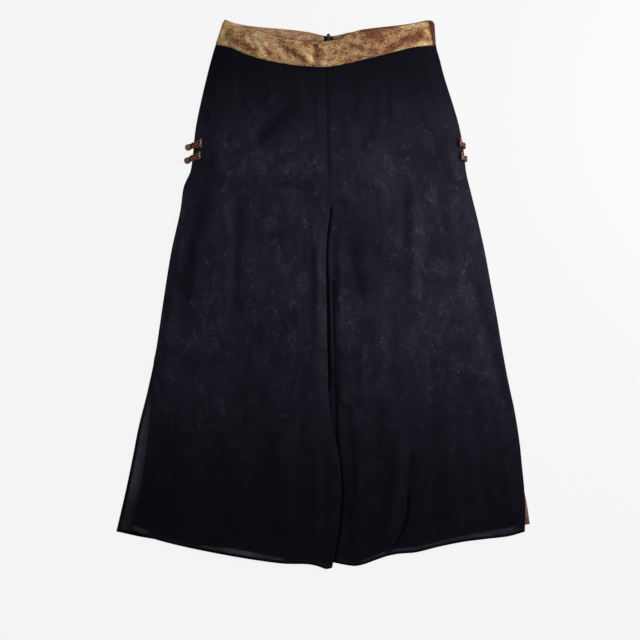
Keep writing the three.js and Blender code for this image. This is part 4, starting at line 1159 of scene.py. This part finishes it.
            # Painted shadow on the right leg beside the left leg's inner edge, fainter along the middle of
            # the leg
            deep = ease((CROTCH_Y + 14 - y) / 12) * (1 - 0.85 * ease((-130 - y) / 50) * ease((y + 290) / 30))
            shadow = mix(4.6, 6.5, ease((-300 - y) / 40))
            lie = lie - 1.5 * deep * np.exp(-((beside / shadow) ** 2))
        clear = self.clear_strip(side, x, from_hem)
        name = f"front_leg_{side.value}"
        piece = wall(f"{name}_cloth", x, y, top, top - SHELL, {"sheer": clear, "lie": lie})
        self.dressing.finish(piece, "cloth", Finish.SHELL, [name])
        stitches = self.hem_stitches(side, cut)

    def hem_stitches(self, side: Side, cut: Patch) -> Piece:
        """A row of small stitches along the hem, each a spindle laid on the cloth.

        A spindle is a ball drawn out along the hem's direction, and the row is one mesh.
        """
        row = cut.grid(spaced(400), np.array([1 - self.stitch_line / self.length]))
        line = np.stack([row[0][0], row[1][0]], axis=1)
        run = np.concatenate([[0], np.cumsum(np.linalg.norm(np.diff(line, axis=0), axis=1))])
        at = np.arange(2.5, run[-1] - 2.5, self.stitch_pitch)
        before, middle, after = (
            np.stack([np.interp(at + off, run, line[:, k]) for k in range(2)]) for off in (-0.5, 0, 0.5)
        )
        x, y = middle
        z = self.form.leg_floor(side, x, y) + CLOTH + self.hem_shape(np.full(x.shape, self.stitch_line)) + 0.1
        ball, faces, uv = pillow_parts((0, 0, 0), self.stitch_half, 2.0, 5, 6)
        ux, uy = (after - before) / np.hypot(*(after - before))
        px = ball[None, :, 0] * uy[:, None] + ball[None, :, 1] * ux[:, None] + x[:, None]
        py = -ball[None, :, 0] * ux[:, None] + ball[None, :, 1] * uy[:, None] + y[:, None]
        pz = ball[None, :, 2] + z[:, None]
        verts = np.stack([px, py, pz], axis=-1).reshape(-1, 3)
        all_faces = (faces[None] + (np.arange(len(at)) * len(ball))[:, None, None]).reshape(-1, 4)
        piece = mesh_object(f"hem_stitches_{side.value}", verts * MM, all_faces, np.tile(uv, (len(at), 1)))
        return self.dressing.finish(piece, "thread", Finish.SHELL)


@dataclass
class Waistband:
    """The shaped front band and the two halves of the back band."""

    form: Form
    dressing: Dressing
    tall: float = 42.0
    front_ends: tuple[Place, Place] = ((-169.0, -182.0), (188.8, 191.0))
    back_left_end: Place = (-167.0, -180.0)
    back_right_end: Place = (185.0, 189.0)
    side_seam: Place = (11.2, 5.2)  # width of the painted shade at the right end, at its top and at its seam
    recess: float = 7.9  # half the width of the thin part beside the zip
    thin: float = 1.0  # how much thinner that part is

    def patch(self, ends: tuple[Place, Place], top: Edge, seam: Edge) -> Patch:
        """A band between its top edge and its seam, with straight ends given as (top x, seam x)."""
        edges = []
        for top_x, seam_x in ends:
            ty, sy = value_at(top, top_x), value_at(seam, seam_x)
            edges.append((lambda y, a=top_x, b=seam_x, t=ty, s=sy: mix(b, a, (y - s) / (t - s)), (ty, sy)))
        (outer, outer_ends), (inner, inner_ends) = edges
        return Patch(outer, inner, top, seam, outer_ends, inner_ends)

    def scalloped(self, x: Array) -> Array:
        """The front band's seam, drawn up a little between its stitches."""
        return through(self.form.front_seam)(x) + Waves(11, 0.6).height(x, np.zeros(x.shape))

    def rows(self, count: int) -> Array:
        """Rows down a band, close together at both edges."""
        middle = np.linspace(0.075, 0.925, count)
        return np.concatenate([[0, 0.012, 0.03, 0.05], middle, [0.95, 0.97, 0.988, 1]])

    def cushion(self, u: Array, v: Array, wide: float) -> Array:
        """Height lost round a band's edges, where its folds round over."""
        from_end = np.minimum(u, 1 - u)[None, :] * wide
        from_edge = np.minimum(v, 1 - v)[:, None] * self.tall
        return 0.7 * (1 - ease(from_end / 2.2)) + 0.8 * (1 - ease(from_edge / 2.6))

    def build(self) -> None:
        """Builds the front band and both back halves."""
        self.build_front()
        for side in Side:
            self.build_back_half(side)

    def build_front(self) -> None:
        """The front band with its puckers; its right end carries painted shade at the side seam, where the
        band folds round to the back.
        """
        form = self.form
        u = np.concatenate([[0, 0.002, 0.005], np.linspace(0.009, 0.991, 230), [0.995, 0.998, 1]])
        v = self.rows(34)
        cut = self.patch(self.front_ends, through(form.front_top), self.scalloped)
        x, y = cut.grid(u, v)
        floor = form.band_floor(x, y)
        top = floor + BAND - self.cushion(u, v, 360) + Waves(17, 0.18, 0.7).height(x, y)
        from_right = cut.inner(y) - x
        # Painted shade at the right end, where the band folds round
        shade_width = mix(*self.side_seam, v)[:, None]
        shade_and_red = ease((shade_width + 1.2 - from_right) / 2.8)
        groove = 0.35 * np.exp(-(((from_right - shade_width) / 1.3) ** 2))
        browner = 0.28 * ease((x + 70) / 60)
        rim = 0.9 * ease((x - 60) / 20) * ease((2.6 - v[:, None] * self.tall) / 1.5)
        shot_and_sheen = np.clip(heights(form.shot_and_sheen, x, y), -1, 1) + browner + rim
        piece = wall("waistband_front_cloth", x, y, top - groove, floor, {"shade_and_red": shade_and_red, "shot_and_sheen": shot_and_sheen})
        self.dressing.finish(piece, "lame", Finish.LAME, ["waistband_front"])

    def build_back_half(self, side: Side) -> None:
        """Half of the back band, one layer thick beside the zip and clear of the table over the pull tab."""
        form = self.form
        left = side is Side.LEFT
        outer = self.back_left_end if left else self.back_right_end
        edge = ZIP_X - HALF_SEAM if left else ZIP_X + HALF_SEAM
        u = np.concatenate([[0, 0.004, 0.01], np.linspace(0.02, 0.86, 70), np.linspace(0.866, 1, 44)])
        v = self.rows(22)
        cut = self.patch((outer, (edge, edge)), through(form.back_top), through(form.back_seam))
        x, y = cut.grid(u, v)
        off = np.abs(x - ZIP_X)
        rise = (1 - ease((off - 5) / 16)) * pull_rise(y)
        thick = mix(BAND - self.thin, BAND, ease((off - self.recess) / 0.8))
        soft = self.cushion(u, v, 185) * 0.6 * ease((off - self.recess) / 4)
        top = rise + thick - soft + Waves(21, 0.12, 1.9).height(x, y) * ease((off - 12) / 10) - 0.12
        name = f"waistband_back_{side.value}"
        over = y - through(form.front_top)(x)
        far = ease((-126 - x) / 16)
        # Painted shadow just above the front band's top edge, fainter at the far left, and the tone of the
        # shot weave
        shadow_and_weave = {
            "shade_and_red": (0.85 - 0.7 * far) * np.exp(-(((over - 0.4) / 1.7) ** 2)),
            "shot_and_sheen": 0.1 - 0.8 * far + 0.4 * Waves(37, 1.0).height(x, 2 * y),
        }
        piece = wall(f"{name}_cloth", x, y, top, rise, shadow_and_weave)
        self.dressing.finish(piece, "lame_inside", Finish.LAME, [name])


@dataclass
class Zip:
    """The closed zip: two tapes, two rows of teeth, the slider and its pull tab."""

    dressing: Dressing
    top: float = 436.4
    length: float = 200.0
    tape_width: float = 7.2
    tape_thick: float = 0.7
    apart: float = 0.3
    pitch: float = 1.5
    slider_room: float = 13.0
    stop_room: float = 4.0
    tooth_half: Place3 = (1.5, 0.5, 0.42)
    tooth_up: float = 1.05
    reach: float = 0.55
    weld: float = 0.00001
    bevel: float = 0.00018

    def tape_low(self, y: Array) -> Array:
        """The tapes' underside, over the thin part of the back band and then over the cloth."""
        return np.maximum(BAND - Waistband.thin + pull_rise(y) + REST, ON_LEG)

    def build(self) -> None:
        """Builds the tapes and teeth, and dresses the slider and pull tab."""
        for side in Side:
            self.build_tape(side)
        self.build_teeth()
        self.dress_metal("zip_slider", "garment")
        self.dress_metal("zip_pull_tab", "pull_tab")

    def build_tape(self, side: Side) -> None:
        """One tape, with a thicker corded inner edge."""
        sign = -1 if side is Side.LEFT else 1
        u, v = spaced(16), spaced(160)
        uu, vv = np.meshgrid(u, v)
        x = ZIP_X + sign * (self.apart + self.tape_width * uu)
        y = self.top - self.length * vv
        low = self.tape_low(y)
        edge = 0.16 * np.exp(-(((uu - 0.22) / 0.08) ** 2)) - 0.3 * (1 - ease((1 - uu) / 0.08))
        name = f"zip_tape_{side.value}"
        piece = wall(f"{name}_cloth", x, y, low + self.tape_thick + edge, low)
        self.dressing.finish(piece, "tape", Finish.ZIP_TAPE, [name])

    def build_teeth(self) -> None:
        """The closed coil's teeth: rounded blocks that reach over the middle from each side by turns."""
        at = np.arange(self.top - self.slider_room, self.top - self.length + self.stop_room, -self.pitch)
        parts = []
        for k, y in enumerate(at):
            shift = self.reach if k % 2 else -self.reach
            z = value_at(self.tape_low, y) + self.tooth_up
            parts.append(pillow_parts((ZIP_X + shift, float(y), z), self.tooth_half, 3.0, 5, 8))
        verts, faces, uv = joined(parts)
        self.dressing.finish(mesh_object("zip_teeth", verts * MM, faces, uv), "tape", Finish.ZIP_TAPE)

    def dress_metal(self, node: str, body: str) -> None:
        """A softened copy of a metal node: doubles merged, edges bevelled."""
        source = bpy.data.objects[node] if node in bpy.data.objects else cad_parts[node]
        mesh = source.data.copy()
        piece = added(f"{node}_metal", mesh)
        piece.modifiers.new("merge", "WELD").merge_threshold = self.weld
        bevel = piece.modifiers.new("soften", "BEVEL")
        bevel.width = self.bevel
        bevel.segments = 2
        bevel.angle_limit = math.radians(40)
        mesh.shade_smooth()
        mesh.set_sharp_from_angle(angle=math.radians(50))
        self.dressing.finish(piece, "metal", Finish.ZIP_METAL, [node], body)


@dataclass(frozen=True)
class FrogPlace:
    """Where one frog's bar and knot lie, in millimetres."""

    name: str
    side: Side
    bar: Place
    knot: Place
    bar_half: float


@dataclass
class Frogs:
    """Four frog fasteners: a rouleau loop from its bar round a ball knot, and the knot's stem."""

    form: Form
    dressing: Dressing
    cord: float = 1.9
    knot: float = 4.2
    stem: float = 0.9
    eye: float = 3.6
    low: float = 3.0  # the cord's middle where a loop hangs over the side
    strand: float = 1.12  # radius of the cord that the knot is woven of
    bar_across: float = 1.6
    bar_up: float = 1.7
    places: tuple[FrogPlace, ...] = (
        FrogPlace("left_upper", Side.LEFT, (-206.5, 254.4), (-228.2, 248), 7.4),
        FrogPlace("left_lower", Side.LEFT, (-208.5, 234.4), (-229.8, 225.6), 6.6),
        FrogPlace("right_upper", Side.RIGHT, (232.2, 256), (228.5, 248.2), 8.0),
        FrogPlace("right_lower", Side.RIGHT, (234.4, 232.6), (229.5, 226.6), 7.6),
    )

    def build(self) -> None:
        """Builds each frog on its side."""
        for place in self.places:
            if place.side is Side.LEFT:
                self.build_left(place)
            else:
                self.build_right(place)

    def left_height(self, x: float, y: float) -> float:
        """The loop's height: on the cloth inside the side's edge, easing down outside it."""
        edge = value_at(self.form.side(Side.LEFT, "front"), y)
        cloth = max(self.form.front_top_at(max(x, edge), y + off) for off in (-3, 0, 3))
        return float(mix(cloth + self.cord + REST + 0.2, self.low, ease((edge - x - 2.2) / 3)))

    def build_left(self, place: FrogPlace) -> None:
        """The loop runs over the side to its eye, and the knot sits in the eye."""
        (bx, by), (kx, ky) = place.bar, place.knot
        length = math.hypot(bx - kx, by - ky)
        ax, ay = (bx - kx) / length, (by - ky) / length

        def at(s: float, off: float) -> Place3:
            """A place s along the loop from the knot and off to its left."""
            x, y = kx + s * ax - off * ay, ky + s * ay + off * ax
            return x, y, self.left_height(x, y)

        half = (
            (length, place.bar_half - 2.7), (length * 0.8, 4.1), (length * 0.6, 3.8), (9.5, 3.4), (7.5, 3.1),
            (5.5, 2.9), (3.5, 3.1), (1.6, 3.6), (-0.8, self.eye), (-2.7, self.eye * 0.66),
        )
        route = [at(s, off) for s, off in half] + [at(-self.eye, 0)] + [at(s, -off) for s, off in half[::-1]]
        bar_z = self.left_height(bx, by) + 0.5
        over_stem = CLOTH + 2 * REST + 2 * self.stem + self.cord
        between = np.array([at(s, 0) for s in (length, length * 0.8, length * 0.6, 9.9, 7.4, 5.3)])
        between[-1, 2] = over_stem
        self.build_loop(place, np.array(route), (bx, by, bar_z), between)
        knot_z = self.low + 5.7
        stem_z = ON_LEG + self.stem
        stem = [
            (0, knot_z - 3), (0.4, knot_z - self.knot - 0.6), (2.6, stem_z + 0.2), (7, stem_z), (13, stem_z),
        ]
        stem_route = np.array([(kx + s * ax, ky + s * ay, z) for s, z in stem])
        self.build_knot(place, (kx, ky, knot_z), stem_route)

    def build_right(self, place: FrogPlace) -> None:
        """The knot lies under the front's edge, and the loop bends over the edge to catch it."""
        (bx, by), (kx, ky) = place.bar, place.knot
        edge = self.form.side(Side.RIGHT, "front")

        def over(x: float, y: float) -> float:
            """The loop's height on the cloth, clear of it on both sides."""
            inside = min(x, value_at(edge, y))
            near = [self.form.front_top_at(xx, y + off) for off in (-4, 0, 4) for xx in (inside - 3, inside)]
            return max(near) + REST + self.cord

        rim = max(value_at(edge, y) for y in (by, ky))
        out = max(rim, kx + self.knot) + REST + self.cord + 0.5
        knot_z = self.knot
        bar_z = over(bx, by) + 0.1
        middle = bx + (out - bx) * 0.55
        half = (
            (bx, 0.55, 1.9, bar_z - 0.2), (middle, 0.5, 1.9, over(middle, by)),
            (out - 0.2, 0.35, 2.0, bar_z - 2.4), (out, 0.15, 2.2, knot_z + 3.6),
            (out - 0.2, 0, 1.9, knot_z + 0.4),
        )
        route = [(x, ky + (by - ky) * share + off, z) for x, share, off, z in half]
        route += [(out - 0.3, ky, knot_z - 1.4)]
        route += [(x, ky + (by - ky) * share - off, z) for x, share, off, z in half[::-1]]
        self.build_loop(place, np.array(route), (bx, by, bar_z))
        stem_z = ON_LEG + self.stem
        stem = ((0, knot_z), (-4, knot_z - 0.6), (-9, stem_z), (-18, stem_z))
        self.build_knot(place, (kx, ky, knot_z), np.array([(kx + s, ky, z) for s, z in stem]))

    def build_loop(self, place: FrogPlace, route: Array, bar: Place3, between: Array | None = None) -> None:
        """The cord on its route, a shorter one between its strands if given, and the wrapped bar."""
        parts = [pillow_parts(bar, (self.bar_across, place.bar_half, self.bar_up), 3.2, 26, 28)]
        for line, steps, turns in ((route, 110, 9), (between, 34, 2)):
            if line is not None:
                parts.append(tube_parts(smooth_path(line, steps), np.full(steps, self.cord), 16, twist=turns))
        verts, faces, uv = joined(parts)
        # Paler bars over darker strands are partly painted highlight and painted shade; the right frog's are
        # set less pale because the key lamp lights them more
        bar_pale, cord_pale = (0.9, 0.0) if place.side is Side.LEFT else (0.35, 0.1)
        pale = np.where(np.arange(len(verts)) < len(parts[0][0]), bar_pale, cord_pale)
        node = f"frog_loop_{place.name}"
        piece = mesh_object(f"{node}_cord", verts * MM, faces, uv, {"pale": pale})
        self.dressing.finish(piece, "rouleau", Finish.COPPER, [node])

    def build_knot(self, place: FrogPlace, centre: Place3, stem: Array) -> None:
        """A ball knot: a cord woven four times over and under round a core, and its stem.

        The cord's place turns three times round the ball while it swings four times up and down.
        """
        t = np.linspace(0, 2 * math.pi, 170, endpoint=False)
        lon, lat = 3 * t, 0.98 * np.sin(4 * t)
        reach = (self.knot - 1.15) * (1 + 0.06 * np.cos(6 * t))
        ball = np.stack([np.cos(lat) * np.cos(lon), np.cos(lat) * np.sin(lon), np.sin(lat)], axis=1)
        path = ball * reach[:, None] + np.array(centre)
        woven = tube_parts(path, np.full(len(t), self.strand), 10, closed=True)
        core = pillow_parts(centre, (self.knot - 1.1,) * 3, 2.0, 14, 20)
        tail = tube_parts(smooth_path(stem, 24), np.full(24, self.stem), 10)
        verts, faces, uv = joined([woven, core, tail])
        pale = np.full(len(verts), 1.0 if place.name.endswith("upper") else 0.5)
        node = f"frog_knot_{place.name}"
        piece = mesh_object(f"{node}_ball", verts * MM, faces, uv, {"pale": pale})
        self.dressing.finish(piece, "rouleau", Finish.COPPER, [node])


@dataclass
class SlitFacing:
    """The copper facing on the right slit's back edge."""

    form: Form
    dressing: Dressing
    width: float = 11.0
    thick: float = 0.85
    reach: Place = (-306.0, -388.8)  # its upper and lower end

    def build(self) -> None:
        """A folded strip along the back's edge, redder at its lower end."""
        u, v = spaced(12), spaced(60)
        uu, vv = np.meshgrid(u, v)
        y = mix(*self.reach, vv)
        x = self.form.side(Side.RIGHT, "back")(y) - 0.2 - self.width * uu
        low = np.full(x.shape, ON_LEG)
        edge = 0.35 * (1 - ease(np.minimum(uu, 1 - uu) * self.width / 1.4))
        top = low + self.thick - edge + Waves(9, 0.12).height(x, y)
        redder = {"shot_and_sheen": np.zeros(x.shape), "shade_and_red": 0.5 * ease((-374 - y) / 5)}
        piece = wall("slit_facing_right_cloth", x, y, top, low, redder)
        self.dressing.finish(piece, "lame_pink", Finish.COPPER, ["slit_facing_right"])


@dataclass
class Studio:
    """The pale floor, the soft lights and the camera straight above."""

    frame_width: float = 1.0816
    lens: float = 90.0
    sensor: float = 36.0
    look_at: Place = (-0.0051, -0.0439)
    garment_top: float = 0.006
    floor_half: float = 6.0
    floor_low: float = -0.0004
    paper: float = 0.04
    glow: float = 0.885
    sky: tuple[float, ...] = (0.96, 0.97, 1.0, 1.0)
    sky_strength: float = 0.22
    # Each lamp's name, place, size and power
    lamps: tuple[tuple[str, Place3, float, float], ...] = (
        ("key", (0.92, 0.36, 0.46), 0.42, 11.0),
        ("top", (0.15, 0.9, 1.3), 0.9, 5.0),
    )

    def build(self) -> None:
        """Sets the floor, the lights, the backdrop's light and the camera."""
        bpy.context.scene.view_settings.view_transform = "Standard"
        self.build_floor()
        self.build_world()
        for lamp in self.lamps:
            self.light(*lamp)
        self.build_camera()

    def build_floor(self) -> None:
        """A pale sheet that mostly keeps its own even tone."""
        half = self.floor_half
        corners = [(x * half, y * half, self.floor_low) for x, y in ((-1, -1), (1, -1), (1, 1), (-1, 1))]
        mesh = bpy.data.meshes.new("floor")
        mesh.from_pydata(corners, [], [(0, 1, 2, 3)])
        floor = added("floor", mesh)
        n = Nodes("floor_paper")
        n.set(Base_Color=(self.paper,) * 3, Roughness=1.0, Specular_IOR_Level=0.0)
        n.set(Emission_Color=(1.0, 1.0, 1.0), Emission_Strength=self.glow)
        mesh.materials.append(n.material)

    def build_world(self) -> None:
        """An even, slightly cool light from all round."""
        world = bpy.data.worlds.new("studio")
        world.use_nodes = True
        back = world.node_tree.nodes["Background"]
        back.inputs["Color"].default_value = self.sky
        back.inputs["Strength"].default_value = self.sky_strength
        bpy.context.scene.world = world

    def light(self, name: str, at: Place3, size: float, power: float) -> None:
        """A square soft light aimed at the garment's middle."""
        data = bpy.data.lights.new(name, "AREA")
        data.size = size
        data.energy = power
        lamp = added(name, data)
        lamp.location = at
        aim = np.array([*self.look_at, 0.0]) - np.array(at)
        yaw = math.atan2(aim[1], aim[0])
        lamp.rotation_euler = (0.0, math.acos(-aim[2] / np.linalg.norm(aim)), yaw + math.pi)

    def build_camera(self) -> None:
        """A long lens straight above, so that the frame is as wide as the photograph's."""
        data = bpy.data.cameras.new("camera")
        data.lens = self.lens
        data.sensor_width = self.sensor
        camera = added("camera", data)
        camera.location = (*self.look_at, self.frame_width * self.lens / self.sensor + self.garment_top)
        bpy.context.scene.camera = camera


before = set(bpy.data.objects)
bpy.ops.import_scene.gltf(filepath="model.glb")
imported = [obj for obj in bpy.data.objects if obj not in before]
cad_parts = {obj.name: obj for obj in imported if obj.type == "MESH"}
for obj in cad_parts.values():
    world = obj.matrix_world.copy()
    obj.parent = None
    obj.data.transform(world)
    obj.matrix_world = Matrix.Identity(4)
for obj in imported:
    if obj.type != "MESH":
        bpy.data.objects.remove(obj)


def main() -> None:
    """Dresses the frame, piece by piece."""
    logging.basicConfig(level=logging.INFO, format="%(name)s %(message)s")
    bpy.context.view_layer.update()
    form = Form()
    dressing = Dressing()
    LegPanels(form, dressing).build()
    Waistband(form, dressing).build()
    Zip(dressing).build()
    Frogs(form, dressing).build()
    SlitFacing(form, dressing).build()
    Studio().build()
    bpy.context.view_layer.update()


if __name__ == "__main__":
    main()
